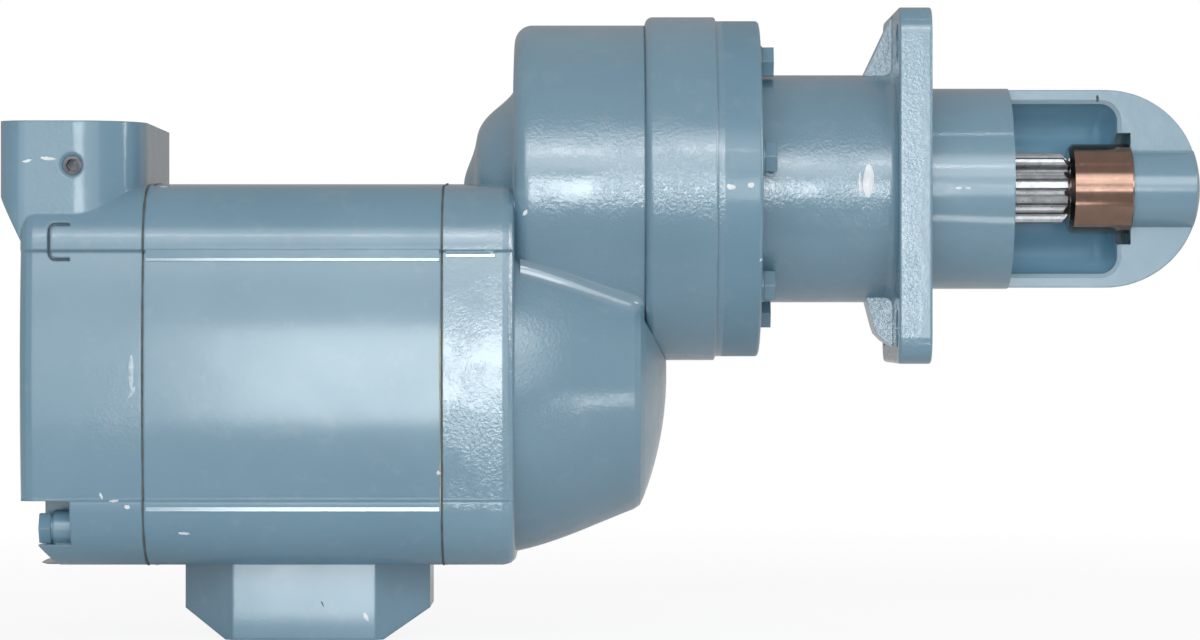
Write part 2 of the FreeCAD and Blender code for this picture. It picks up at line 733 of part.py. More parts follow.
def make_nose():
    """The pilot and the half-open nose with its domed end and shaft boss."""
    end_centre = nose_end_x - dome_end_radius
    side_drop = nose_radius - dome_radius
    dome_x = end_centre + math.sqrt((dome_end_radius - dome_radius) ** 2 - side_drop ** 2)
    ratio = dome_end_radius / (dome_end_radius - dome_radius)
    meet = (end_centre + (dome_x - end_centre) * ratio, side_drop * ratio)
    meet_angle = math.atan2(meet[1] - side_drop, meet[0] - dome_x)
    mid = (meet_angle + math.pi / 2) / 2
    end_angle = math.atan2(meet[1], meet[0] - end_centre) / 2
    outline = chain([(nose_end_x, 0), (0, 0), (0, pilot_radius), (window_x, pilot_radius),
                     (window_x, nose_radius), (dome_x, nose_radius)])
    outline.append(Part.Arc(Vector(dome_x, 0, nose_radius),
                            Vector(dome_x + dome_radius * math.cos(mid), 0,
                                   side_drop + dome_radius * math.sin(mid)),
                            Vector(meet[0], 0, meet[1])).toShape())
    outline.append(Part.Arc(Vector(meet[0], 0, meet[1]),
                            Vector(end_centre + dome_end_radius * math.cos(end_angle), 0,
                                   dome_end_radius * math.sin(end_angle)),
                            Vector(nose_end_x, 0, 0)).toShape())
    solid = turned(outline)
    open_side = slab(window_x, nose_end_x + 1, -pilot_radius - 1, cut_plane_y, -pilot_radius - 1,
                     pilot_radius + 1)
    open_side = open_side.cut(rod(spot_face_x, nose_end_x + 1, nose_boss_radius))
    turn = cavity_round * (1 - math.sqrt(0.5))
    cavity = chain([(cavity_end_x, cavity_radius - cavity_round), (cavity_end_x, 0), (0, 0),
                    (0, cavity_radius), (cavity_end_x - cavity_round, cavity_radius)])
    cavity.append(Part.Arc(Vector(cavity_end_x - cavity_round, 0, cavity_radius),
                           Vector(cavity_end_x - turn, 0, cavity_radius - turn),
                           Vector(cavity_end_x, 0, cavity_radius - cavity_round)).toShape())
    nose = solid.cut(open_side).cut(turned(cavity))
    rim = [e for e in nose.Edges if abs(e.BoundBox.YMax - cut_plane_y) < 0.01 and e.BoundBox.YLength < 0.01
           and e.BoundBox.XMin > cavity_end_x - cavity_round - 0.1 and e.BoundBox.XMax < cavity_end_x + 0.1]
    nose = nose.makeChamfer(cavity_chamfer, rim)
    nose = nose.cut(rod(cavity_end_x - 1, spot_face_x, spot_face_radius))
    return nose.cut(rod(spot_face_x - 1, shaft_end_x + 1.5, bush_outer))


def make_carrier():
    disc = rod(carrier_x[0], carrier_x[1], cover_bore - 0.1)
    hub = rod(carrier_x[1], carrier_spigot_x, piston_bore - 0.05)
    cup = rod(carrier_x[0] - gear_front_bearing[2], carrier_x[0], gear_front_bearing[1] + 7)
    body = fused([disc, hub, cup])
    body = body.cut(rod(carrier_x[0] - gear_front_bearing[2] - 1, carrier_x[0], gear_front_bearing[1]))
    body = body.cut(rod(carrier_x[0] - 1, carrier_x[0] + output_bearing[2], output_bearing[1]))
    body = body.cut(rod(carrier_x[0], carrier_spigot_x + 1, output_seal[1]))
    body = body.cut(torus(carrier_seal_x(), piston_bore - seal_section, seal_section))
    for y, z in around(carrier_screw_count, carrier_screw_circle, carrier_screw_start):
        body = body.cut(rod(carrier_x[0] + 2, carrier_x[1] + 1, carrier_screw[0], y, z))
    return body


def carrier_seal_x():
    """Middle of the carrier's spigot."""
    return (carrier_x[1] + carrier_spigot_x) / 2


def make_carrier_screws():
    radius, across, height = carrier_screw
    screws = []
    for y, z in around(carrier_screw_count, carrier_screw_circle, carrier_screw_start):
        head_x = drum_front_x + carrier_washer[1]
        head = hexagon(head_x, head_x + height, across, y, z)
        screws.append(head.fuse(rod(carrier_x[0] + 2, head_x, radius, y, z)).removeSplitter())
    return group(screws)


def make_carrier_washers():
    outer, thick = carrier_washer
    return group([ring(drum_front_x, drum_front_x + thick, outer, carrier_screw[0] + 0.25, y, z)
                  for y, z in around(carrier_screw_count, carrier_screw_circle, carrier_screw_start)])


def make_rim_screws():
    radius, head_radius, height = rim_screw
    seat = drum_front_x - rim_counterbore[1]
    screws = []
    for y, z in rim_screw_places():
        head = rod(seat, seat + height, head_radius, y, z)
        head = head.cut(hexagon(seat + height - 3, seat + height + 1, 5.0, y, z))
        shank = rod(case_front_x - rim_screw_reach, seat, radius, y, z)
        screws.append(head.fuse(shank).removeSplitter())
    return group(screws)


def make_front_gasket():
    x = case_front_x
    plate = ring(x, x + gasket, drum_radius, cover_bore)
    for y, z in rim_screw_places():
        plate = plate.cut(rod(x - 1, x + 1, rim_screw[0] + 0.2, y, z))
    return plate


def feed_cut(x0, x1):
    """The lengthwise air passage in the thick top of the liner."""
    width, height = feed_slot
    top = motor_z + liner_outer - feed_wall
    return slab(x0, x1, -width / 2, width / 2, top - height, top)


def make_liner():
    x0 = motor_rear_x + end_plate
    x1 = motor_front_x - end_plate
    liner = rod(x0, x1, liner_outer, z=motor_z)
    liner = liner.cut(rod(x0 - 1, x1 + 1, bore_radius, z=motor_z - bore_offset))
    liner = liner.cut(feed_cut(x0 - 1, x1 - feed_slot_end))
    width, pitch, count, start_y = liner_port
    port_top = motor_z + liner_outer - feed_wall - feed_slot[1] / 2
    for k in range(count):
        x = x0 + (x1 - x0 - pitch * (count - 1) - width) / 2 + pitch * k
        liner = liner.cut(slab(x, x + width, start_y, feed_slot[0] / 2, motor_z, port_top))
    width, pitch, count, across = exhaust_slot
    for k in range(count):
        x = exhaust_x + pitch * (k - (count - 1) / 2) - width / 2
        liner = liner.cut(slab(x, x + width, -across / 2, across / 2, motor_z - liner_outer - 1, motor_z))
    radius, _, length, _ = dowel
    for y, z in dowel_places():
        liner = liner.cut(rod(x0 - 1, x0 + length, radius, y, z))
    return liner


def dowel_places():
    """Two locating pins through the liner's wall, beside the air passage."""
    circle = liner_outer - dowel[1]
    return [around(1, circle, angle, motor_z)[0] for angle in (dowel_angle, 180.0 - dowel_angle)]


def make_rear_end_plate():
    x0 = motor_rear_x
    plate = ring(x0, x0 + end_plate, liner_outer, shaft_front_radius + plate_shaft_gap, z=motor_z)
    plate = plate.cut(feed_cut(x0 - 1, x0 + end_plate + 1))
    for y, z in dowel_places():
        plate = plate.cut(rod(x0 + dowel[3], x0 + end_plate + 1, dowel[0], y, z))
    return plate


def make_front_end_plate():
    x1 = motor_front_x
    return ring(x1 - end_plate, x1, liner_outer, shaft_front_radius + plate_shaft_gap, z=motor_z)


def make_liner_dowels():
    radius, _, length, sunk = dowel
    x0 = motor_rear_x + sunk
    x1 = motor_rear_x + end_plate + length
    return group([rod(x0, x1, radius, y, z) for y, z in dowel_places()])


def rotor_span():
    """Both end faces of the rotor."""
    return motor_rear_x + end_plate + end_clearance, motor_front_x - end_plate - end_clearance


def vane_box(x0, x1, grow):
    """One vane slot or vane standing straight up from the motor axis."""
    half = vane_thickness / 2 + grow
    return slab(x0, x1, -half, half, motor_z + rotor_radius - vane_height - grow, motor_z + rotor_radius)


def make_rotor():
    x0, x1 = rotor_span()
    shoulder_x = cover_front_x - bearing_set_back / 2
    nut_end_x = pinion_x[1] + pinion_washer_size[1] + pinion_nut_size[1]
    rotor = [rod(x0, x1, rotor_radius, z=motor_z)]
    rotor.append(rod(shoulder_x, x0, shaft_front_radius, z=motor_z))
    rotor.append(rod(cover_bearing_x - shaft_stub, shoulder_x, shaft_rear_radius, z=motor_z))
    rotor.append(rod(x1, pinion_x[0], shaft_front_radius, z=motor_z))
    rotor.append(rod(pinion_x[0], pinion_x[1], shaft_seat_radius, z=motor_z))
    rotor.append(rod(pinion_x[1], nut_end_x + bearing_gap, shaft_thread_radius, z=motor_z))
    solid = fused(rotor)
    for k in range(vane_count):
        slot = vane_box(x0 - 1, x1 + 1, vane_clearance)
        slot = slot.fuse(moved(slot, z=2.0))
        slot.rotate(Vector(0, 0, motor_z), AXIS_X, 360.0 * k / vane_count)
        solid = solid.cut(slot)
    solid = solid.cut(key_bar(1.0))
    x = rotor_ring_x
    groove = shaft_rear_radius - rotor_ring_depth
    return solid.cut(ring(x, x + ring_thickness, shaft_rear_radius + 1, groove, z=motor_z))


def key_bar(grow):
    """The pinion's key standing on the shaft's flat, made taller by grow."""
    width, height, depth = key_size
    foot = motor_z + shaft_seat_radius - depth
    return slab(pinion_x[0] + key_end_margin, pinion_x[1] - key_end_margin, -width / 2, width / 2,
                foot, foot + height + grow)


def make_rotor_ring():
    groove = shaft_rear_radius - rotor_ring_depth
    return snap_ring(rotor_ring_x, groove, shaft_rear_radius + 2.0, motor_z)


def make_vanes():
    x0, x1 = rotor_span()
    vanes = []
    for k in range(vane_count):
        vane = vane_box(x0, x1, 0.0)
        vane = vane.common(rod(x0, x1, rotor_radius, z=motor_z))
        vane.rotate(Vector(0, 0, motor_z), AXIS_X, 360.0 * k / vane_count)
        vanes.append(vane)
    return group(vanes)


def make_motor_pinion():
    pitch = gear_module * motor_pinion_teeth / 2
    start = 90.0 + 180.0 / motor_pinion_teeth
    gear = gear_disc(motor_pinion_teeth, pitch + gear_module, pitch - 1.25 * gear_module,
                     pinion_x[0], pinion_x[1], start, motor_z)
    gear = gear.cut(rod(pinion_x[0] - 1, pinion_x[1] + 1, shaft_seat_radius, z=motor_z))
    width, height, depth = key_size
    top = motor_z + shaft_seat_radius - depth + height + key_top_clearance
    return gear.cut(slab(pinion_x[0] - 1, pinion_x[1] + 1, -width / 2, width / 2, motor_z, top))


def make_pinion_key():
    return key_bar(0.0)


def make_pinion_washer():
    outer, thick = pinion_washer_size
    return ring(pinion_x[1], pinion_x[1] + thick, outer, shaft_thread_radius, z=motor_z)


def make_pinion_nut():
    across, height = pinion_nut_size
    x0 = pinion_x[1] + pinion_washer_size[1]
    nut = hexagon(x0, x0 + height, across, z=motor_z)
    return nut.cut(rod(x0 - 1, x0 + height + 1, shaft_thread_radius, z=motor_z))


def make_drive_gear():
    pitch = gear_module * drive_gear_teeth / 2
    gear = gear_disc(drive_gear_teeth, pitch + gear_module, pitch - 1.25 * gear_module,
                     gear_x[0], gear_x[1], -90.0)
    rim = pitch - gear_rim
    for x in (gear_x[0] - 1, gear_x[1] - gear_web_recess):
        gear = gear.cut(ring(x, x + gear_web_recess + 1, rim, hub_radius - 1))
    for y, z in around(gear_web_holes, (rim + hub_radius) / 2, 0.0):
        gear = gear.cut(rod(gear_x[0], gear_x[1], gear_web_hole_radius, y, z))
    hub_rear = chamber_rear_x + hub_end_clearance
    hub_front = carrier_x[0] - gear_front_bearing[2] - bearing_gap
    parts = [gear, rod(hub_rear, hub_front, hub_radius)]
    parts.append(rod(case_bearing_rear_x + bearing_gap, hub_rear, small_bearing[0]))
    parts.append(rod(hub_front, carrier_x[0] - bearing_gap, gear_front_bearing[0]))
    solid = fused(parts)
    solid = solid.cut(rod(clutch_cavity_x, carrier_x[0], race_radius))
    return solid.cut(rod(clutch_cavity_x - shaft_pilot[1] - 2, clutch_cavity_x + 1, pilot_bush_outer))


def make_pilot_bush():
    x0 = clutch_cavity_x - shaft_pilot[1]
    return ring(x0, clutch_cavity_x, pilot_bush_outer, shaft_pilot[0] + running)


def roller_places():
    """Roller centres between the clutch hub and the outer race."""
    return around(roller_count, roller_circle, 0.0)


def make_clutch_rollers():
    return group([rod(roller_span[0], roller_span[1], roller_radius, y, z) for y, z in roller_places()])


def make_clutch_cage():
    cage = ring(roller_span[0] - cage_end, roller_span[1] + cage_end, roller_circle + cage_half_wall,
                roller_circle - cage_half_wall)
    play = cage_clearance
    for y, z in roller_places():
        cage = cage.cut(rod(roller_span[0] - play, roller_span[1] + play, roller_radius + play, y, z))
    return cage


def make_clutch_hub():
    hub = rod(clutch_span[0], clutch_span[1], clutch_hub_radius)
    return hub.cut(splined(clutch_span[0] - 1, clutch_span[1] + 1, hub_spline))


def make_drive_shaft():
    ring_x = clutch_span[0] - ring_thickness
    bearing_front = carrier_x[0] + output_bearing[2]
    seal_front = carrier_spigot_x
    parts = [rod(ring_x - 1.0 - shaft_pilot[1] + 1.0, ring_x, shaft_pilot[0])]
    parts.append(splined(ring_x, clutch_span[1], hub_spline))
    parts.append(rod(clutch_span[1], carrier_x[0] - 0.3, shaft_shoulder_radius))
    parts.append(rod(carrier_x[0] - 0.3, bearing_front, output_bearing[0]))
    parts.append(rod(bearing_front, seal_front, output_seal[0]))
    parts.append(splined(seal_front, collar_rear_x, pinion_spline))
    parts.append(rod(collar_rear_x, spot_face_x - collar_gap, collar_seat_radius))
    parts.append(rod(spot_face_x - collar_gap, shaft_end_x, journal_radius))
    shaft = fused(parts)
    groove = ring(ring_x, clutch_span[0], hub_spline[0] + 1, hub_spline[1] - 1.0)
    shaft = shaft.cut(groove)
    x = collar_ring_x()
    return shaft.cut(ring(x, x + ring_thickness, collar_seat_radius + 1, collar_seat_radius - 0.8))


def collar_ring_x():
    """Rear face of the ring that holds the stop collar."""
    return spot_face_x - collar_gap - 3.5


def make_stop_collar():
    x0, x1 = collar_rear_x, spot_face_x - collar_gap
    body = turned_profile([(x0, 0), (x0, collar_radius - collar_chamfer), (x0 + collar_chamfer, collar_radius),
                           (x1 - 0.6, collar_radius), (x1, collar_radius - 0.6), (x1, 0)])
    body = body.cut(rod(x0 - 1, x1 + 1, collar_seat_radius))
    return body.cut(rod(collar_ring_x(), x1 + 1, collar_seat_radius + 3.5))


def make_drive_pinion():
    x1 = collar_rear_x - pinion_gap
    teeth = gear_disc(drive_pinion_teeth, pinion_tip_radius, pinion_root_radius, pinion_rear_x, x1, 90.0)
    lead = 2.5
    over = pinion_tip_radius + 0.2
    envelope = turned_profile([(pinion_rear_x, 0), (pinion_rear_x, pinion_tip_radius - 1),
                               (pinion_rear_x + 1, over), (x1 - lead, over), (x1, pinion_tip_radius - lead),
                               (x1, 0)])
    teeth = teeth.common(envelope)
    sleeve_rear_x = sleeve_ring_places()[0] - sleeve_end_margin
    sleeve = rod(sleeve_rear_x, pinion_rear_x, sleeve_radius)
    body = fused([teeth, sleeve])
    body = body.cut(rod(sleeve_rear_x - 1, 20.0, sleeve_bore))
    body = body.cut(splined(19.0, x1 + 1, pinion_spline, spline_clearance))
    for x in sleeve_ring_places():
        body = body.cut(ring(x, x + ring_thickness, sleeve_radius + 1, sleeve_radius - 1.0))
    return body


def sleeve_ring_places():
    """The retaining rings on both sides of the shift bearing."""
    rear = piston_front_x - piston_lip - shift_bearing_size[2]
    return rear - 0.1 - ring_thickness, piston_front_x - piston_lip + 0.1


def make_sleeve_rings():
    return group([snap_ring(x, sleeve_radius - 1.0, sleeve_radius + 2.5) for x in sleeve_ring_places()])


def make_piston():
    x0 = piston_front_x - piston_thickness
    piston = rod(x0, piston_front_x, piston_bore - piston_clearance)
    piston = piston.cut(rod(x0 - 1, piston_front_x - piston_lip, shift_bearing_size[1]))
    piston = piston.cut(rod(x0, piston_front_x + 1, sleeve_radius + piston_sleeve_gap))
    half, sunk = spring_seat
    groove = ring(piston_front_x - sunk, piston_front_x + 1, spring_radius + half, spring_radius - half)
    piston = piston.cut(groove)
    half, deep = seal_groove
    for x in piston_seal_places():
        piston = piston.cut(ring(x - half, x + half, piston_bore, piston_bore - deep))
    return piston


def piston_seal_places():
    """Two seal grooves in the piston's rim."""
    front, rear = piston_seal_insets
    return piston_front_x - front, piston_front_x - piston_thickness + rear


def make_piston_seals():
    middle = piston_bore - piston_clearance - seal_section
    return group([torus(x, middle, seal_section) for x in piston_seal_places()])


def make_return_spring():
    x0 = piston_front_x - spring_seat[1] + spring_wire / 2
    x1 = guide_wall[0] - spring_wire / 2
    helix = Part.makeLongHelix((x1 - x0) / spring_turns, x1 - x0, spring_radius)
    corners = []
    for k in range(spring_wire_sides + 1):
        angle = 2 * math.pi * (k + 0.5) / spring_wire_sides
        across = spring_wire / 2 * math.cos(angle)
        corners.append(Vector(spring_radius + across, 0, spring_wire / 2 * math.sin(angle)))
    profile = Part.Wire(Part.makePolygon(corners).Edges)
    spring = Part.Wire(helix.Edges).makePipeShell([profile], True, True)
    spring.rotate(Vector(0, 0, 0), Vector(0, 1, 0), 90)
    spring.translate(Vector(x0, 0, 0))
    return spring


def make_all():
    """Every node of the starter by name."""
    seal_x = case_rear_x + motor_front_bearing[2]
    return {
        "rear_cover": make_rear_cover(),
        "inlet_plug": make_inlet_plug(),
        "motor_housing": make_motor_housing(),
        "gear_housing": make_gear_housing(),
        "drive_housing": make_drive_housing(),
        "rear_gasket": gasket_plate(cover_front_x, liner_outer),
        "middle_gasket": gasket_plate(motor_front_x, liner_outer),
        "front_gasket": make_front_gasket(),
        "tie_bolts": make_tie_bolts(),
        "tie_bolt_washers": make_tie_bolt_washers(),
        "drive_housing_screws": make_rim_screws(),
        "bearing_carrier": make_carrier(),
        "carrier_screws": make_carrier_screws(),
        "carrier_washers": make_carrier_washers(),
        "carrier_seal": torus(carrier_seal_x(), piston_bore - seal_section, seal_section),
        "cylinder_liner": make_liner(),
        "rear_end_plate": make_rear_end_plate(),
        "front_end_plate": make_front_end_plate(),
        "liner_dowels": make_liner_dowels(),
        "rear_motor_bearing": bearing(cover_bearing_x, small_bearing, motor_z),
        "front_motor_bearing": bearing(case_rear_x, motor_front_bearing, motor_z),
        "motor_shaft_seal": lip_seal(seal_x, motor_seal, motor_z),
        "rear_gear_bearing": bearing(case_bearing_rear_x, small_bearing),
        "front_gear_bearing": bearing(carrier_x[0] - gear_front_bearing[2], gear_front_bearing),
        "output_bearing": bearing(carrier_x[0], output_bearing),
        "output_seal": lip_seal(carrier_x[1], output_seal),
        "guide_bush": ring(guide_wall[0], guide_wall[1], guide_bush_outer, sleeve_radius + 0.04),
        "nose_bush": ring(spot_face_x + 0.2, shaft_end_x + 0.5, bush_outer, journal_radius + running),
        "rotor": make_rotor(),
        "vanes": make_vanes(),
        "rotor_ring": make_rotor_ring(),
        "motor_pinion": make_motor_pinion(),
        "pinion_key": make_pinion_key(),
        "pinion_washer": make_pinion_washer(),
        "pinion_nut": make_pinion_nut(),
        "drive_gear": make_drive_gear(),
        "gear_pilot_bush": make_pilot_bush(),
        "clutch_rollers": make_clutch_rollers(),
        "clutch_cage": make_clutch_cage(),
        "clutch_hub": make_clutch_hub(),
        "drive_shaft": make_drive_shaft(),
        "hub_ring": snap_ring(clutch_span[0] - ring_thickness, hub_spline[1] - 1.0, hub_spline[0] + 2.0),
        "stop_collar": make_stop_collar(),
        "collar_ring": snap_ring(collar_ring_x(), collar_seat_radius - 0.8, collar_seat_radius + 2.5),
        "drive_pinion": make_drive_pinion(),
        "sleeve_rings": make_sleeve_rings(),
        "piston": make_piston(),
        "piston_seals": make_piston_seals(),
        "shift_bearing": bearing(piston_front_x - piston_lip - shift_bearing_size[2], shift_bearing_size),
        "return_spring": make_return_spring(),
    }


os.makedirs("parts", exist_ok=True)
for name, shape in make_all().items():
    shape.exportStep(os.path.join("parts", name + ".step"))
    solids = len(shape.Solids)
    print(name, solids, round(shape.Volume / 1000, 2), "cm3", shape.isValid())
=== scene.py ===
"""Air starter: finishes, fine details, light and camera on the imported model."""
import json
import math
import random

import bmesh
import bpy
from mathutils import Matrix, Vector, noise


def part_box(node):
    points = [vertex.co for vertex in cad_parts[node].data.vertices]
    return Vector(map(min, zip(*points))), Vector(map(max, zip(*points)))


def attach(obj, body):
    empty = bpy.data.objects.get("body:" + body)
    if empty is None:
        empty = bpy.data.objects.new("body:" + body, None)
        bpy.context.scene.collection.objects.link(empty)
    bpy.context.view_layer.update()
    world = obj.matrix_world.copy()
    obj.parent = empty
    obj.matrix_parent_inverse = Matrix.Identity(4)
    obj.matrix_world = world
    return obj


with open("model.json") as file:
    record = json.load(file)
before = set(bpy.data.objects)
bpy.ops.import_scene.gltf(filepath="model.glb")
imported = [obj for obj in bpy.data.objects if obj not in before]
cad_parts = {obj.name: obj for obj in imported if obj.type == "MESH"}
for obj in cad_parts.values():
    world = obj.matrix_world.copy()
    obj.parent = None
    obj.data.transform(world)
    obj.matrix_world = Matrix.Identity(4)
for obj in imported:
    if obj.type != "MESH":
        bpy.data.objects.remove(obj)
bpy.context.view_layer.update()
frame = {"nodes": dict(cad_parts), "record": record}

MM = 0.001
full_turn = 2 * math.pi
axis_x = Vector((1, 0, 0))
SIDES = {"near": -1, "far": 1}

# Camera, in millimetres and pixels of the photograph, with its reach in metres
camera_place = (-148.5, -2070.0, -60.3)
camera_lens = 135.0
camera_sensor = 36.0
camera_reach = 60.0
photo_width = 1200
photo_height = 640
pixel_slope = camera_sensor / camera_lens / photo_width
pixel_size = 0.445

# Floor, in metres, and how bright it looks to the camera near the object and far from it
floor_half = 12.0
floor_front_y = -0.2
floor_drop = 0.0005
floor_colour = (0.86, 0.87, 0.88)
floor_roughness = 0.9
floor_glow = 0.9
floor_fade = (0.4, 1.1)
floor_front_fade = 0.12

# Even light from all round. A gloss that looks away from the camera shows a share of the white backdrop and
# less of the even light
world_level = 0.42
world_fade = (0.5, 0.95)
gloss_share = 0.2
gloss_back_loss = 0.6

# Lamps, in metres, with how bright their faces are
lamp_aim = (-0.15, 0.0, -0.06)
LAMPS = {
    "window": {"place": (-0.2075, -3.0, -0.11), "size": (0.745, 0.72), "glow": 6.8,
               "tint": (0.90, 0.97, 1.0)},
    "glint": {"place": (0.36, -3.0, 0.10), "size": (0.09, 0.20), "glow": 4.0},
    "sliver": {"place": (0.42, -3.0, -0.22), "size": (0.10, 0.30), "glow": 4.0},
    "sky": {"place": (-0.2, -2.15, 1.0), "size": (2.8, 1.1), "glow": 1.3},
    "band": {"place": (-0.34, -2.3, 1.05), "size": (1.22, 0.05), "glow": 12.0},
    "fill": {"place": (-0.15, -3.3, 0.7), "size": (4.6, 2.6), "glow": 1.05, "tint": (0.93, 0.98, 1.0)},
    "high_strip": {"place": (0.145, -0.7, 1.39), "size": (0.12, 0.022), "glow": 10.0},
    "low_strip": {"place": (0.06, -0.26, -0.185), "size": (0.11, 0.035), "glow": 3.0},
    "side_strip": {"place": (1.7, -0.05, 0.42), "size": (0.34, 0.72), "glow": 7.0},
}

# Paint, with linear colours. A wave is noise: cycles a metre, layers, their roughness, and from which of its
# values to which it counts
paint_slot = "grey_blue_paint"
paint_colour = (0.138, 0.256, 0.340)
paint_light = (0.158, 0.284, 0.370)
paint_tone_wave = (14.0, 3.0, 0.5, 0.35, 0.68)
dust_colour = (0.30, 0.36, 0.40)
dust_wave = (95.0, 4.0, 0.65, 0.56, 0.78)
dust_most = 0.28
cast_area_wave = (30.0, 3.0, 0.6, 0.40, 0.58)
cast_least = 0.25
cast_grain_wave = (640.0, 3.0, 0.62, 0.40, 0.70)
peel_wave = (150.0, 1.0)
paint_edge_samples = 4
paint_gloss_wave = (60.0, 3.0, 0.5, 0.3, 0.7)
paint_roughness = (0.3, 0.42)
coat_roughness = 0.11

# Stretches along X that were turned smooth before painting, in millimetres, and how much of the casting's
# texture and of the gloss they lose
cover_rim_span = (-93.0, -77.0)
nose_span = (-6.0, 140.0)
plain_loss = 0.88
matt_loss = 0.8
matt_soft = 0.3

# Painted light in the nose: paint lightened inside it in place of the light its shade keeps out, and a
# painted highlight on its edge. Both ends along X, the radius and the front in millimetres
nose_inside_painted_light = (0.28, 0.56, 0.76)
nose_cavity = (38.0, 89.5, 39.7, -0.2)
nose_rim_painted_highlight = (0.40, 0.55, 0.65)
nose_rim_highlight_zone = (38.0, 92.5, 41.2, -2.0)
nose_soft = (0.5, 0.4, 0.3)

# Paints by what is under them: the depth of the casting's texture, the depth of the paint's own waves and
# the radius of softened edges, in millimetres. gloss_index is the clear coat's index of refraction
PAINTS = {
    "paint_fasteners": {"cast": 0.02},
    "paint_extruded": {"cast": 0.006, "peel": 0.012, "edge_radius": 1.7},
    "paint_cover": {"cast": 0.016, "peel": 0.02, "edge_radius": 1.5},
    "paint_gear_housing": {"cast": 0.076, "peel": 0.04, "gloss_index": 1.8},
    "paint_drive": {"cast": 0.09, "peel": 0.04, "gloss_index": 1.75, "nose": True,
                    "plain_spans": (cover_rim_span, nose_span), "matt_span": cover_rim_span},
    "paint_lip": {"cast": 0.002, "peel": 0.008, "gloss_index": 1.95, "edge_radius": 0.15},
    "bright_lip": {"cast": 0.002, "peel": 0.008, "gloss_index": 2.5, "edge_radius": 0.15},
}

# Bare metals: turned is the depth of their fine rings in millimetres, and fleck how much darker spots are
METALS = {
    "dark_steel": {"colour": (0.115, 0.118, 0.125), "roughness": 0.34, "turned": 0.004, "fleck": 0.5},
    "steel": {"colour": (0.50, 0.51, 0.525), "roughness": 0.32, "turned": 0.006, "fleck": 0.25},
    "bronze": {"colour": (0.62, 0.42, 0.2), "roughness": 0.3, "turned": 0.006, "fleck": 0.2},
    "copper_bronze": {"colour": (0.35, 0.222, 0.172), "roughness": 0.14, "turned": 0.008, "fleck": 0.12},
    "aluminium": {"colour": (0.72, 0.73, 0.74), "roughness": 0.32, "turned": 0.01, "fleck": 0.1},
    "cast_iron": {"colour": (0.21, 0.21, 0.215), "roughness": 0.5, "turned": 0.01, "fleck": 0.3},
}
metal_spot_wave = (180.0, 4.0, 0.6, 0.35, 0.65)
metal_gloss_wave = (400.0, 3.0, 0.5, 0.3, 0.7)
metal_gloss_range = (0.8, 1.25)
metal_edge = 0.3
metal_edge_samples = 3
ring_stretch = (3200.0, 60.0, 60.0)
ring_wave = (1.0, 2.0, 0.7)
ring_strength = 0.6

# Non-metals, in patches of two colours: grain is in cycles a metre, and depth in millimetres
DULLS = {
    "gasket_painted": {"colour": (0.085, 0.15, 0.20), "second": (0.06, 0.11, 0.15), "roughness": 0.45},
    "gasket_paper": {"colour": (0.17, 0.15, 0.1), "roughness": 0.8},
    "rubber": {"colour": (0.02, 0.02, 0.022), "roughness": 0.6},
    "vane_composite": {"colour": (0.2, 0.12, 0.07), "roughness": 0.55, "grain": 1400.0},
    "sealant": {"colour": (0.55, 0.53, 0.42), "second": (0.36, 0.33, 0.22), "roughness": 0.5,
                "grain": 300.0, "depth": 0.1},
    # Nearly black line at the joints: partly the pressed-out joint, partly painted shade of the gap
    "joint_line_and_gap_shade": {"colour": (0.07, 0.075, 0.07), "second": (0.12, 0.12, 0.10), "roughness": 0.6},
    # Pale marks: partly bare metal where the paint is chipped, partly painted glints and highlights on the
    # enamel
    "bare_chip": {"colour": (0.80, 0.82, 0.84), "second": (0.62, 0.68, 0.72), "roughness": 0.35,
                  "grain": 600.0, "depth": 0.05},
    # Pale streaks: partly rubbed paint, partly a painted sheen
    "worn_paint": {"colour": (0.52, 0.62, 0.68), "second": (0.24, 0.36, 0.44), "roughness": 0.3,
                   "grain": 500.0, "depth": 0.05},
    "nick": {"colour": (0.03, 0.032, 0.036), "roughness": 0.5},
}
dull_shade = 0.72
dull_patch_wave = (220.0, 4.0, 0.5, 0.35, 0.65)
dull_gloss_wave = (500.0, 2.0, 0.5, 0.3, 0.7)
dull_gloss_least = 0.85
grain_layers = 3.0
grain_strength = 0.7

# Nodes with a finish of their own; the others take the one that is named after their slot
NODE_FINISH = {"rear_cover": "paint_cover", "motor_housing": "paint_extruded",
               "gear_housing": "paint_gear_housing", "drive_housing": "paint_drive",
               "front_gasket": "gasket_painted"}

# Sealant in the joints, whose dark line is partly painted shade of the gap: lengths in millimetres, waves in
# cycles a metre. Corners within corner_reach are one, and a face looks forwards when more than facing_least
# of its normal lies along X
bead_step = 1.6
bead_radius = 0.42
bead_wobble = 0.22
bead_wave = 160.0
bead_sides = 6
corner_reach = 0.01
facing_least = 0.5
streak_offset = 1.0
streak_radius = 0.36
streak_thin = 0.08
streak_wave = 28.0
streak_seed = Vector((3.1, 0, 0))
streak_floor = 0.02
streak_gain = 3.0
streak_least = 5

# Threads in the air ports, in millimetres, with the crest's half width as a share of the pitch
thread_pitch = 2.31
thread_height = 1.2
thread_sink = 0.15
thread_crest = 0.06
thread_free_turns = 2
thread_steps = 56

# Fillet between the drum and the lower bulge, in millimetres
fillet_radius = 8.0
fillet_span = (-184.0, -128.6)
fillet_steps = 26
fillet_arc = 9

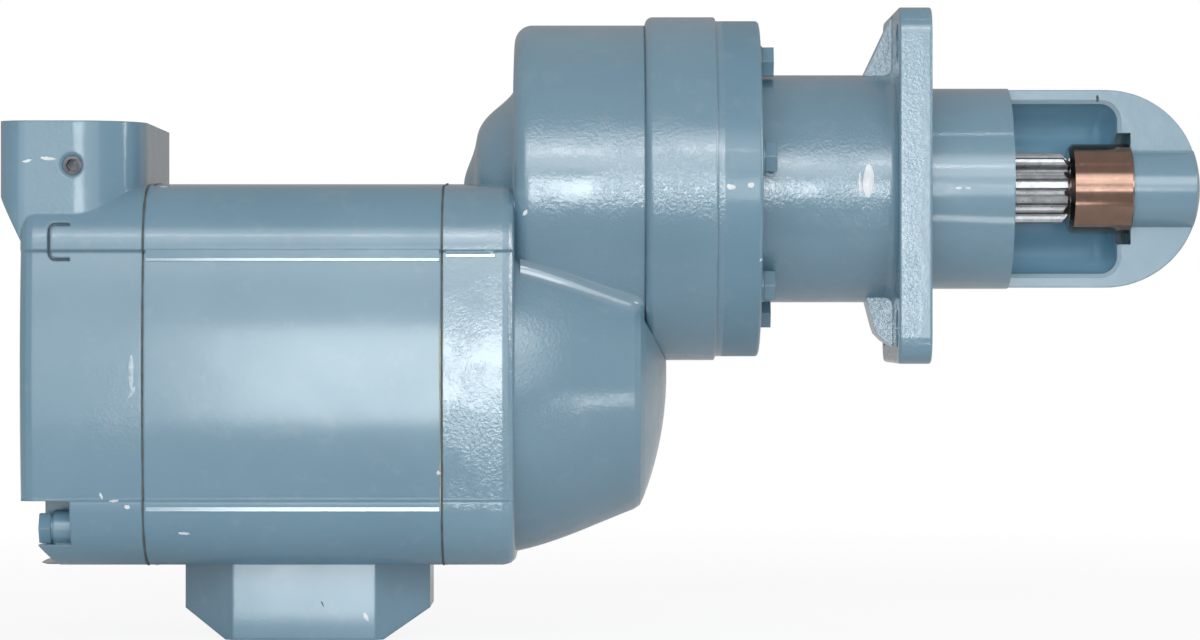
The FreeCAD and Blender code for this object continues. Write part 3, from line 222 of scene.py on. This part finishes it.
# Lips along the creases, at pixel rows of the photograph: their height, their margins at both ends and the
# height of the slope above them, in millimetres. A lip stands out by slope_lift more for each millimetre of
# slope. The creases lie section_front before the middle plane
LIPS = {
    "upper": {"node": "motor_housing", "pixel_row": 259.5, "tall": 1.5, "margins": (1.0, 1.0), "slope": 5.2,
              "material": "paint_lip"},
    "lower": {"node": "motor_housing", "pixel_row": 509.5, "tall": 2.1, "margins": (1.0, 1.0), "slope": 0.0,
              "material": "paint_lip"},
    "front": {"node": "gear_housing", "pixel_row": 255.5, "tall": 1.3, "margins": (1.5, 77.0), "slope": 5.0,
              "material": "bright_lip"},
}
section_front = 86.0
lip_proud = 0.05
lip_edge = 0.12
lip_checks = 5
slope_lift = 0.09
slope_proud = 0.02
slope_sink = 0.05

# Pad on the rear cover's back, on the middle plane, in millimetres: height, half sizes, thickness, and the
# cover's slope above it as x and z of its two ends
pad_height = -26.5
pad_half = (11.0, 8.5)
pad_thick = 1.1
pad_sink = 0.05
pad_shares = (0.02, 0.35, 0.6, 0.8, 0.92, 0.98, 1.0)
pad_turns = 40
cover_back_x = -405.0
cover_slope = ((-415.0, -5.0), (-401.0, -33.0))

# Marks at pixels of the photograph: place, half size in pixels, tilt in degrees, lift in millimetres. The
# pale chips are partly chipped paint and partly painted glints, the runs are raised drips whose white is a
# painted highlight, and the worn streaks are partly worn paint and partly a painted sheen
CHIPS_AND_GLINTS = [
    ((27, 161), (5, 1.3), -12, 0.05),
    ((48, 158.5), (8, 1.6), 4, 0.06),
    ((959, 188), (3.2, 1.4), 0, 0.05),
    ((968, 188), (3.0, 1.1), 5, 0.05),
    ((163, 187), (3.5, 1.6), 8, 0.08),
    ((184, 533.5), (5.5, 1.5), 3, 0.08),
    ((525, 213), (3.5, 2.0), -50, 0.10),
    ((731, 187), (5.0, 2.6), 4, 0.10),
    ((751, 185), (3.2, 2.6), 0, 0.10),
    ((761, 260), (2.2, 1.2), -35, 0.05),
    ((366, 617), (2.0, 4.5), -28, 0.06),
    ((164, 186.5), (4.0, 2.0), 5, 0.06),
    ((114, 501), (4.5, 2.0), -8, 0.04),
    ((127, 507), (3.0, 2.0), 20, 0.04),
    ((101, 496), (1.2, 4.0), -20, 0.04),
]
# Raised drips of paint whose white is a painted highlight
RUNS_AND_GLINTS = [((868.5, 181), (5.5, 17.0), 3, 0.4), ((860, 183), (1.8, 11.0), 0, 0.3)]
# Streaks on the rear cover, partly worn paint and partly painted sheen
WORN_AND_SHEEN = [((131, 372), (2.6, 17.0), 0, 0.10), ((132, 392), (2.2, 6.0), 30, 0.05)]
NICKS = [((322.5, 604), (0.8, 3.2), -25, 0.02), ((1097.5, 99), (1.6, 4.2), 0, 0.02)]
DROP = ((438.5, 473), (2.6, 2.4), 0, 0.9)

# Each kind of mark with its material and its first random seed, and the shape that all marks share
MARKS = {"chip": ("bare_chip", 4, CHIPS_AND_GLINTS), "paint_run_and_glint": ("bare_chip", 9, RUNS_AND_GLINTS),
         "worn": ("worn_paint", 4, WORN_AND_SHEEN), "nick": ("nick", 4, NICKS)}
drop_seed = 5
seed_step = 11
mark_turns = 28
mark_profile = ((0.04, 1.0), (0.4, 0.88), (0.75, 0.5), (1.0, 0.04))
mark_clear = 0.01
mark_wobble = (-0.28, 0.2)
long_mark = 15.0
long_mark_wobble = 0.25


def new_material(name):
    """A material with its node tree and its shader."""
    material = bpy.data.materials.new(name)
    material.use_nodes = True
    return material, material.node_tree, material.node_tree.nodes["Principled BSDF"]


def set_inputs(tree, made, inputs):
    """Sets a node's inputs, each to a value or by a link from a socket."""
    for key, value in inputs.items():
        if isinstance(value, bpy.types.NodeSocket):
            tree.links.new(value, made.inputs[key])
        else:
            made.inputs[key].default_value = value


def add(tree, kind, inputs=None, **settings):
    """A new node with its inputs and its settings."""
    made = tree.nodes.new(kind)
    for key, value in settings.items():
        setattr(made, key, value)
    set_inputs(tree, made, inputs or {})
    return made


def place_of(tree):
    """The surface point in metres, in the row frame for every piece."""
    return add(tree, "ShaderNodeTexCoord").outputs["Object"]


def parts_of(tree, vector):
    """The three parts of a vector, by the names X, Y and Z."""
    return add(tree, "ShaderNodeSeparateXYZ", {"Vector": vector}).outputs


def times(tree, a, b):
    """The product of two values."""
    return add(tree, "ShaderNodeMath", {0: a, 1: b}, operation="MULTIPLY").outputs[0]


def larger(tree, a, b):
    """The larger of two values."""
    return add(tree, "ShaderNodeMath", {0: a, 1: b}, operation="MAXIMUM").outputs[0]


def inverse(tree, value):
    """One less the value."""
    return add(tree, "ShaderNodeMath", {0: 1.0, 1: value}, operation="SUBTRACT").outputs[0]


def ranged(tree, value, low, high, to_low=0.0, to_high=1.0):
    """The value mapped from low..high to another range, clamped."""
    made = add(tree, "ShaderNodeMapRange", {"Value": value, "From Min": low, "From Max": high,
                                            "To Min": to_low, "To Max": to_high})
    return made.outputs["Result"]


def zone(tree, along, low, high, soft=2.0):
    """One between two places along an axis, in millimetres, with soft ends."""
    rise = ranged(tree, along, (low - soft) * MM, (low + soft) * MM)
    fall = ranged(tree, along, (high - soft) * MM, (high + soft) * MM, 1.0, 0.0)
    return times(tree, rise, fall)


def cloud(tree, point, cycles, layers, roughness=0.5):
    """Smooth noise over the surface, with its size as cycles a metre."""
    made = add(tree, "ShaderNodeTexNoise",
               {"Vector": point, "Scale": cycles, "Detail": layers, "Roughness": roughness})
    return made.outputs["Fac"]


def patches(tree, point, wave, to_low=0.0, to_high=1.0):
    """Noise over the surface that goes from one value to another, as its wave says."""
    cycles, layers, roughness, low, high = wave
    return ranged(tree, cloud(tree, point, cycles, layers, roughness), low, high, to_low, to_high)


def blend_colours(tree, factor, first, second):
    """A colour between two, each a colour or a socket to link."""
    made = add(tree, "ShaderNodeMix", {"Factor": factor}, data_type="RGBA")
    colours = [socket for socket in made.inputs if socket.type == "RGBA"]
    for socket, value in zip(colours, (first, second)):
        if isinstance(value, bpy.types.NodeSocket):
            tree.links.new(value, socket)
        else:
            socket.default_value = (*value, 1.0)
    return [socket for socket in made.outputs if socket.type == "RGBA"][0]


def soft_edges(tree, radius, samples):
    """The normal with edges rounded by a radius in millimetres."""
    return add(tree, "ShaderNodeBevel", {"Radius": radius * MM}, samples=samples).outputs["Normal"]


def bumped(tree, height, depth, strength, normal=None):
    """The normal bent by a height between nought and one, whose depth is in millimetres."""
    made = add(tree, "ShaderNodeBump", {"Strength": strength, "Distance": depth * MM, "Height": height})
    if normal is not None:
        tree.links.new(normal, made.inputs["Normal"])
    return made.outputs["Normal"]


def nose_share(tree, point, limits):
    """One in a half cylinder about the shaft: its ends along X, its radius, and its front along Y."""
    parts = parts_of(tree, point)
    flat = add(tree, "ShaderNodeCombineXYZ", {"Y": parts["Y"], "Z": parts["Z"]}).outputs["Vector"]
    radius = add(tree, "ShaderNodeVectorMath", {0: flat}, operation="LENGTH").outputs["Value"]
    start, end, reach, front = limits
    soft_end, soft_reach, soft_front = nose_soft
    within = ranged(tree, radius, reach * MM, (reach + soft_reach) * MM, 1.0, 0.0)
    behind = ranged(tree, parts["Y"], front * MM, (front + soft_front) * MM)
    return times(tree, times(tree, within, behind), zone(tree, parts["X"], start, end, soft_end))


def painted_colour(tree, point, nose):
    """Enamel of uneven tone with dust in it, with painted light in the open nose: paint lightened inside it
    against its shade, and a painted highlight round its edge.
    """
    colour = blend_colours(tree, patches(tree, point, paint_tone_wave), paint_colour, paint_light)
    colour = blend_colours(tree, patches(tree, point, dust_wave, 0.0, dust_most), colour, dust_colour)
    if nose:
        # Painted highlight on the nose's edge, then paint lightened inside the nose as painted light in its
        # shade
        colour = blend_colours(tree, nose_share(tree, point, nose_rim_highlight_zone), colour, nose_rim_painted_highlight)
        colour = blend_colours(tree, nose_share(tree, point, nose_cavity), colour, nose_inside_painted_light)
    return colour


def painted_skin(tree, point, cast, peel, edge_radius, plain_spans):
    """The normal of a casting with soft edges, rough in places, under paint that has waves of its own."""
    along = parts_of(tree, point)["X"]
    amount = patches(tree, point, cast_area_wave, cast_least, 1.0)
    for low, high in plain_spans:
        amount = times(tree, amount, inverse(tree, times(tree, zone(tree, along, low, high), plain_loss)))
    edges = soft_edges(tree, edge_radius, paint_edge_samples)
    casting = bumped(tree, patches(tree, point, cast_grain_wave), cast, amount, edges)
    return bumped(tree, cloud(tree, point, *peel_wave), peel, 1.0, casting)


def paint_material(name, cast, peel=0.05, gloss_index=1.5, edge_radius=0.9, plain_spans=(), matt_span=None,
                   nose=False):
    """Glossy enamel over a casting. plain_spans are stretches along X with less of the casting's texture,
    matt_span is one with little gloss, and nose says whether the open nose gets painted light: paint
    lightened inside it and a painted highlight on its edge."""
    material, tree, shader = new_material(name)
    point = place_of(tree)
    skin = painted_skin(tree, point, cast, peel, edge_radius, plain_spans)
    set_inputs(tree, shader, {
        "Base Color": painted_colour(tree, point, nose),
        "Roughness": patches(tree, point, paint_gloss_wave, *paint_roughness),
        "Normal": skin,
        "Coat Normal": skin,
        "Coat Weight": 1.0,
        "Coat Roughness": coat_roughness,
        "Coat IOR": gloss_index,
    })
    if matt_span:
        matt = zone(tree, parts_of(tree, point)["X"], *matt_span, matt_soft)
        tree.links.new(inverse(tree, times(tree, matt, matt_loss)), shader.inputs["Coat Weight"])
    return material


def metal_material(name, colour, roughness, turned, fleck):
    """Bare metal, turned about X, with darker spots."""
    material, tree, shader = new_material(name)
    point = place_of(tree)
    dark = tuple(part * (1.0 - fleck) for part in colour)
    smoothest, roughest = metal_gloss_range
    stretched = add(tree, "ShaderNodeMapping", {"Vector": point, "Scale": ring_stretch}).outputs["Vector"]
    edges = soft_edges(tree, metal_edge, metal_edge_samples)
    set_inputs(tree, shader, {
        "Base Color": blend_colours(tree, patches(tree, point, metal_spot_wave), dark, colour),
        "Metallic": 1.0,
        "Roughness": patches(tree, point, metal_gloss_wave, roughness * smoothest, roughness * roughest),
        "Normal": bumped(tree, cloud(tree, stretched, *ring_wave), turned, ring_strength, edges),
    })
    return material


def dull_material(name, colour, roughness, second=None, grain=900.0, depth=0.03):
    """A non-metal, such as gasket sheet, rubber, laminate, sealant or chipped paint."""
    material, tree, shader = new_material(name)
    point = place_of(tree)
    other = second or tuple(part * dull_shade for part in colour)
    set_inputs(tree, shader, {
        "Base Color": blend_colours(tree, patches(tree, point, dull_patch_wave), other, colour),
        "Roughness": patches(tree, point, dull_gloss_wave, roughness * dull_gloss_least, roughness),
        "Normal": bumped(tree, cloud(tree, point, grain, grain_layers), depth, grain_strength),
    })
    return material


def make_finishes():
    """Every finish by its name, and the fasteners' paint by the name of the paint's slot too."""
    made = {name: paint_material(name, **look) for name, look in PAINTS.items()}
    made.update({name: metal_material(name, **look) for name, look in METALS.items()})
    made.update({name: dull_material(name, **look) for name, look in DULLS.items()})
    made[paint_slot] = made["paint_fasteners"]
    return made


def dress_nodes():
    """Gives every carried-over node its finish."""
    slots = {row["node"]: row["material_slot"] for row in frame["record"]["subparts"]}
    for name, obj in frame["nodes"].items():
        obj.data.materials.clear()
        obj.data.materials.append(finish[NODE_FINISH.get(name, slots[name])])


def add_piece(name, mesh, material, smooth=True):
    """A piece of the housing with its finish."""
    for face in mesh.polygons:
        face.use_smooth = smooth
    mesh.materials.append(finish[material])
    piece = bpy.data.objects.new(name, mesh)
    bpy.context.scene.collection.objects.link(piece)
    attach(piece, "housing")


def strip_mesh(name, rows, round_rows=False, round_run=False, open_end=False):
    """A skin over rows of points, each row with as many points as the next. Round rows get a cap at both
    ends of the run, or only at its start."""
    work = bmesh.new()
    grid = [[work.verts.new(point) for point in row] for row in rows]
    following = grid[1:] + grid[:1] if round_run else grid[1:]
    size = len(rows[0])
    for first, second in zip(grid, following):
        for k in range(size if round_rows else size - 1):
            after = (k + 1) % size
            work.faces.new((first[k], first[after], second[after], second[k]))
    if round_rows and not round_run:
        work.faces.new(grid[0])
        if not open_end:
            work.faces.new(grid[-1][::-1])
    bmesh.ops.recalc_face_normals(work, faces=work.faces)
    mesh = bpy.data.meshes.new(name)
    work.to_mesh(mesh)
    work.free()
    return mesh


def tube_mesh(name, points, radii, closed=False):
    """A tube along points in a plane across X, with its own radius at each point."""
    turns = [full_turn * k / bead_sides for k in range(bead_sides)]
    count = len(points)
    rows = []
    for k, (point, radius) in enumerate(zip(points, radii)):
        before = points[k - 1] if closed or k else point
        after = points[(k + 1) % count] if closed or k < count - 1 else point
        across = (after - before).cross(axis_x).normalized()
        rows.append([point + radius * (math.cos(t) * across + math.sin(t) * axis_x) for t in turns])
    return strip_mesh(name, rows, round_rows=True, round_run=closed)


def half_width(body, x, z):
    """How far a body's near side is from the middle plane."""
    return -body.ray_cast(Vector((x, -1.0, z)), Vector((0, 1, 0)))[1].y


def evenly(points, step):
    """Points at even steps along a run of straight pieces."""
    spaced = []
    carried = 0.0
    for first, second in zip(points, points[1:]):
        length = (second - first).length
        while carried < length:
            spaced.append(first.lerp(second, carried / length))
            carried += step
        carried -= length
    return spaced


def rim_edges(work, front):
    """The edges where a flat front face meets the walls round it."""
    rim = []
    for edge in work.edges:
        flat = all(abs(corner.co.x - front) < corner_reach * MM for corner in edge.verts)
        tilts = [abs(face.normal.x) for face in edge.link_faces]
        if flat and len(tilts) == 2 and min(tilts) < facing_least < max(tilts):
            rim.append(edge)
    return rim


def loops_of(edges):
    """The closed loops that edges make, each as its corners' places in order."""
    links = {}
    for edge in edges:
        first, second = edge.verts
        links.setdefault(first, []).append(second)
        links.setdefault(second, []).append(first)
    left = dict.fromkeys(links)
    loops = []
    while left:
        loop = [next(iter(left))]
        while loop[-1] in left:
            del left[loop[-1]]
            loop += [corner for corner in links[loop[-1]] if corner in left][:1]
        loops.append([corner.co.copy() for corner in loop])
    return loops


def length_round(loop):
    """The length of a closed loop of places."""
    return sum((after - before).length for before, after in zip(loop, loop[1:] + loop[:1]))


def outline_of(node):
    """The outer edge of a flat gasket's front, as evenly spaced points in order."""
    work = bmesh.new()
    work.from_mesh(frame["nodes"][node].data)
    bmesh.ops.remove_doubles(work, verts=work.verts, dist=corner_reach * MM)
    outer = max(loops_of(rim_edges(work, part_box(node)[1].x)), key=length_round)
    work.free()
    return evenly(outer + outer[:1], bead_step * MM)


def add_joint_lines():
    """Sealant pressed out of both joints of the motor housing, as a dark line all round that is partly
    painted shade of the gap.
    """
    for node in ("rear_gasket", "middle_gasket"):
        rear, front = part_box(node)
        half_way = Vector(((rear.x - front.x) / 2, 0, 0))
        points = [point + half_way for point in outline_of(node)]
        radii = [(bead_radius + bead_wobble * noise.noise(point * bead_wave)) * MM for point in points]
        name = node + "_line"
        add_piece(name, tube_mesh(name, points, radii, closed=True), "joint_line_and_gap_shade")


def add_sealant_streaks():
    """Pale streaks beside the front joint, where a slow noise is high, starting at its lowest."""
    points = outline_of("middle_gasket")
    strengths = [noise.noise(point * streak_wave + streak_seed) for point in points]
    shift = Vector((-streak_offset * MM, 0, 0))
    lowest = strengths.index(min(strengths))
    run = []
    count = 0
    for k in [*range(lowest, len(points)), *range(lowest + 1)]:
        if strengths[k] > streak_floor:
            run.append(k)
            continue
        if len(run) > streak_least:
            count += 1
            name = f"sealant_streak_{count:02d}"
            shares = [min(strengths[j] * streak_gain, 1.0) for j in run]
            radii = [max(streak_thin, streak_radius * share) * MM for share in shares]
            mesh = tube_mesh(name, [points[j] + shift for j in run], radii)
            add_piece(name, mesh, "sealant")
        run = []


def add_threads():
    """Thread ridges on the walls of both air ports, thinner in their first and last turns."""
    for mount in frame["record"]["mounts"]:
        if mount["kind"] != "threaded_hole":
            continue
        centre = Vector(mount["pos_m"])
        radius = mount["dims"]["r_mm"]
        turns = int(mount["dims"]["length_mm"] / thread_pitch) - thread_free_turns
        rows = []
        for k in range(turns * thread_steps + 1):
            angle = full_turn * k / thread_steps
            around = Vector((math.cos(angle), math.sin(angle), 0))
            height = thread_pitch * (k / thread_steps - turns / 2)
            ridge = thread_height * min(1.0, k / thread_steps, turns - k / thread_steps)
            row = []
            for rise, inward in ((-0.5, -thread_sink), (-thread_crest, ridge), (thread_crest, ridge),
                                 (0.5, -thread_sink)):
                up = Vector((0, 0, height + rise * thread_pitch))
                row.append(centre + (around * (radius - inward) + up) * MM)
            rows.append(row)
        name = mount["name"] + "_thread"
        add_piece(name, strip_mesh(name, rows), "steel")


def fillet_row(x, side, drum, bulge, bulge_z):
    """The fillet's arc across X, which touches the drum and the bulge, whose radii are given."""
    grow = fillet_radius * MM
    z = ((bulge + grow) ** 2 - (drum + grow) ** 2 - bulge_z ** 2) / (-2 * bulge_z)
    y = math.sqrt((drum + grow) ** 2 - z ** 2)
    start = math.atan2(-z, -y)
    end = math.atan2(bulge_z - z, -y)
    sweep = (end - start + math.pi) % full_turn - math.pi
    angles = [start + sweep * k / fillet_arc for k in range(fillet_arc + 1)]
    return [Vector((x, side * (y + grow * math.cos(t)), z + grow * math.sin(t))) for t in angles]


def add_bulge_fillet():
    """The cast fillet in the valley between the drum and the lower bulge, on both sides."""
    body = frame["nodes"]["gear_housing"]
    bulge_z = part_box("motor_pinion")[0].lerp(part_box("motor_pinion")[1], 0.5).z
    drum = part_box("front_gasket")[1].z
    start, end = fillet_span
    places = [(start + (end - start) * k / fillet_steps) * MM for k in range(fillet_steps + 1)]
    for word, side in SIDES.items():
        name = "bulge_fillet_" + word
        rows = [fillet_row(x, side, drum, half_width(body, x, bulge_z), bulge_z) for x in places]
        add_piece(name, strip_mesh(name, rows), "bright_lip")


def lip_profiles(body, x, lip):
    """The front of a crease's lip, and its upper side: straight back to the wall, or by a slope that meets
    the wall higher up. Points are heights with distances from the middle plane."""
    up = (photo_height / 2 - lip["pixel_row"]) * pixel_slope
    middle = camera_place[2] - up * (section_front + camera_place[1])
    heights = [(middle + lip["tall"] * (k / (lip_checks - 1) - 0.5)) * MM for k in range(lip_checks)]
    walls = [half_width(body, x, z) for z in heights]
    face = max(walls) + (lip_proud + lip["slope"] * slope_lift) * MM
    top = heights[-1] - lip_edge * MM
    front = [(heights[0], walls[0]), (heights[0] + lip_edge * MM, face), (top, face)]
    if not lip["slope"]:
        return front, [(top, face), (top + lip_edge * MM, walls[-1])]
    upper = top + lip["slope"] * MM
    wall = half_width(body, x, upper)
    brow = [(top, face), (upper, wall + slope_proud * MM), (upper + lip_edge * MM, wall - slope_sink * MM)]
    return front, brow


def add_crease_lips():
    """The narrow flat lip along each crease, which catches the light, and its upper side, on both sides."""
    for level, lip in LIPS.items():
        node = lip["node"]
        low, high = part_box(node)
        ends = (low.x + lip["margins"][0] * MM, high.x - lip["margins"][1] * MM)
        front, brow = lip_profiles(frame["nodes"][node], ends[0], lip)
        parts = (("lip", front, lip["material"]), ("brow", brow, NODE_FINISH[node]))
        for word, side in SIDES.items():
            for part, profile, material in parts:
                name = f"crease_{part}_{level}_{word}"
                rows = [[Vector((x, side * out, z)) for z, out in profile] for x in ends]
                add_piece(name, strip_mesh(name, rows), material, smooth=False)


def add_rear_pad():
    """A low cast pad on the back of the rear cover, behind the air inlet's bore."""
    (top_x, top_z), (foot_x, foot_z) = cover_slope
    rows = []
    for share in pad_shares:
        lift = pad_thick * math.sqrt(1.0 - share ** 4) - pad_sink
        row = []
        for k in range(pad_turns):
            angle = full_turn * k / pad_turns
            y = pad_half[0] * share * math.cos(angle)
            z = pad_height + pad_half[1] * share * math.sin(angle)
            slope_x = top_x + (foot_x - top_x) * (z - top_z) / (foot_z - top_z)
            row.append(Vector((min(cover_back_x, slope_x) - lift, y, z)) * MM)
        rows.append(row)
    add_piece("rear_pad", strip_mesh("rear_pad", rows, round_rows=True, open_end=True), "paint_cover")


def node_at(spot):
    """The outer node that a pixel of the photograph shows, with the place and its normal."""
    origin = Vector(camera_place) * MM
    across = (spot[0] - photo_width / 2) * pixel_slope
    up = (photo_height / 2 - spot[1]) * pixel_slope
    direction = Vector((across, 1.0, up)).normalized()
    seen = []
    for node in frame["nodes"].values():
        hit, place, normal, _ = node.ray_cast(origin, direction)
        if hit:
            seen.append((node, place, normal))
    return min(seen, key=lambda found: (found[1] - origin).length)


def add_mark(name, spot, half, tilt, lift, material, seed):
    """A small irregular patch that lies on the surface a pixel shows, with lift as its thickness."""
    node, centre, normal = node_at(spot)
    right = (axis_x - normal * normal.x).normalized()
    up = right.cross(normal)
    turn = math.radians(tilt)
    across = right * math.cos(turn) + up * math.sin(turn)
    upward = up * math.cos(turn) - right * math.sin(turn)
    chance = random.Random(seed)
    ragged = long_mark_wobble if max(half) > long_mark else 1.0
    rim = [1.0 + ragged * chance.uniform(*mark_wobble) for _ in range(mark_turns)]
    rows = []
    for share, height in mark_profile:
        row = []
        for k, wobble in enumerate(rim):
            angle = full_turn * k / mark_turns
            offset = across * (math.cos(angle) * half[0]) + upward * (math.sin(angle) * half[1])
            flat = centre + offset * (share * wobble * pixel_size * MM)
            place, facing = node.closest_point_on_mesh(flat)[1:3]
            row.append(place + facing * ((lift * height + mark_clear) * MM))
        rows.append(row)
    add_piece(name, strip_mesh(name, rows, round_rows=True, open_end=True), material)


def add_marks():
    """Pale chips that are partly painted glints, runs with a painted highlight, worn paint with a painted
    sheen, dark nicks and one drop of sealant, where the photograph shows them.
    """
    for kind, (material, first_seed, marks) in MARKS.items():
        for k, mark in enumerate(marks):
            add_mark(f"{kind}_{k + 1:02d}", *mark, material, first_seed + seed_step * k)
    add_mark("sealant_drop", *DROP, "bare_chip", drop_seed)


def seen_share(tree, to_back):
    """One for the camera, and a share of it for gloss and glass where they look towards the backdrop."""
    path = add(tree, "ShaderNodeLightPath").outputs
    bent = larger(tree, path["Is Glossy Ray"], path["Is Transmission Ray"])
    return larger(tree, path["Is Camera Ray"], times(tree, times(tree, bent, to_back), gloss_share))


def make_stage():
    """A wide pale floor, white to the camera, with the object's soft shadow on it."""
    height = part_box("motor_housing")[0].z - floor_drop
    mesh = bpy.data.meshes.new("floor")
    corners = [(-floor_half, floor_front_y), (floor_half, floor_front_y), (floor_half, floor_half),
               (-floor_half, floor_half)]
    mesh.from_pydata([(x, y, height) for x, y in corners], [], [(0, 1, 2, 3)])
    floor = bpy.data.objects.new("floor", mesh)
    bpy.context.scene.collection.objects.link(floor)
    material, tree, shader = new_material("floor")
    set_inputs(tree, shader, {"Base Color": (*floor_colour, 1.0), "Roughness": floor_roughness})
    point = place_of(tree)
    depth = parts_of(tree, point)["Y"]
    away = add(tree, "ShaderNodeVectorMath", {0: point, 1: (lamp_aim[0], 0.0, height)}, operation="DISTANCE")
    front = ranged(tree, depth, floor_front_y, floor_front_y + floor_front_fade, 1.0, floor_glow)
    white = larger(tree, ranged(tree, away.outputs["Value"], *floor_fade, floor_glow, 1.0), front)
    seen = seen_share(tree, ranged(tree, depth, *floor_fade))
    glow = add(tree, "ShaderNodeEmission", {"Color": (1, 1, 1, 1), "Strength": 1.0})
    mixed = add(tree, "ShaderNodeMixShader", {"Fac": times(tree, white, seen), 1: shader.outputs["BSDF"],
                                              2: glow.outputs["Emission"]})
    tree.links.new(mixed.outputs["Shader"], tree.nodes["Material Output"].inputs["Surface"])
    mesh.materials.append(material)


def make_world():
    """Even light from all round, less of it in a gloss that looks backwards, and white to the camera."""
    world = bpy.data.worlds.new("studio")
    bpy.context.scene.world = world
    world.use_nodes = True
    tree = world.node_tree
    direction = add(tree, "ShaderNodeTexCoord").outputs["Generated"]
    to_back = ranged(tree, parts_of(tree, direction)["Y"], *world_fade)
    glossy = add(tree, "ShaderNodeLightPath").outputs["Is Glossy Ray"]
    kept = inverse(tree, times(tree, times(tree, glossy, to_back), gloss_back_loss))
    level = ranged(tree, seen_share(tree, to_back), 0.0, 1.0, times(tree, kept, world_level), 1.0)
    set_inputs(tree, tree.nodes["Background"], {"Color": (1.0, 1.0, 1.0, 1.0), "Strength": level})


def make_lamp(name, place, size, glow, tint=(1.0, 1.0, 1.0)):
    """A rectangular lamp that faces the object, with its face's brightness as glow."""
    data = bpy.data.lights.new(name, "AREA")
    data.shape = "RECTANGLE"
    data.size, data.size_y = size
    data.energy = glow * math.pi * size[0] * size[1]
    data.color = tint
    lamp = bpy.data.objects.new(name, data)
    lamp.location = place
    lamp.rotation_euler = (Vector(lamp_aim) - Vector(place)).to_track_quat("-Z", "Y").to_euler()
    lamp.visible_camera = False
    bpy.context.scene.collection.objects.link(lamp)


def make_camera():
    """A level camera that looks along +Y."""
    data = bpy.data.cameras.new("camera")
    data.lens = camera_lens
    data.sensor_width = camera_sensor
    data.clip_end = camera_reach
    camera = bpy.data.objects.new("camera", data)
    camera.location = Vector(camera_place) * MM
    camera.rotation_euler = (math.radians(90.0), 0.0, 0.0)
    bpy.context.scene.collection.objects.link(camera)
    bpy.context.scene.camera = camera


make_camera()
finish = make_finishes()
dress_nodes()
add_joint_lines()
add_sealant_streaks()
add_threads()
add_bulge_fillet()
add_crease_lips()
add_rear_pad()
add_marks()
make_stage()
make_world()
for name, lamp in LAMPS.items():
    make_lamp(name, **lamp)
bpy.context.scene.view_settings.view_transform = "Standard"
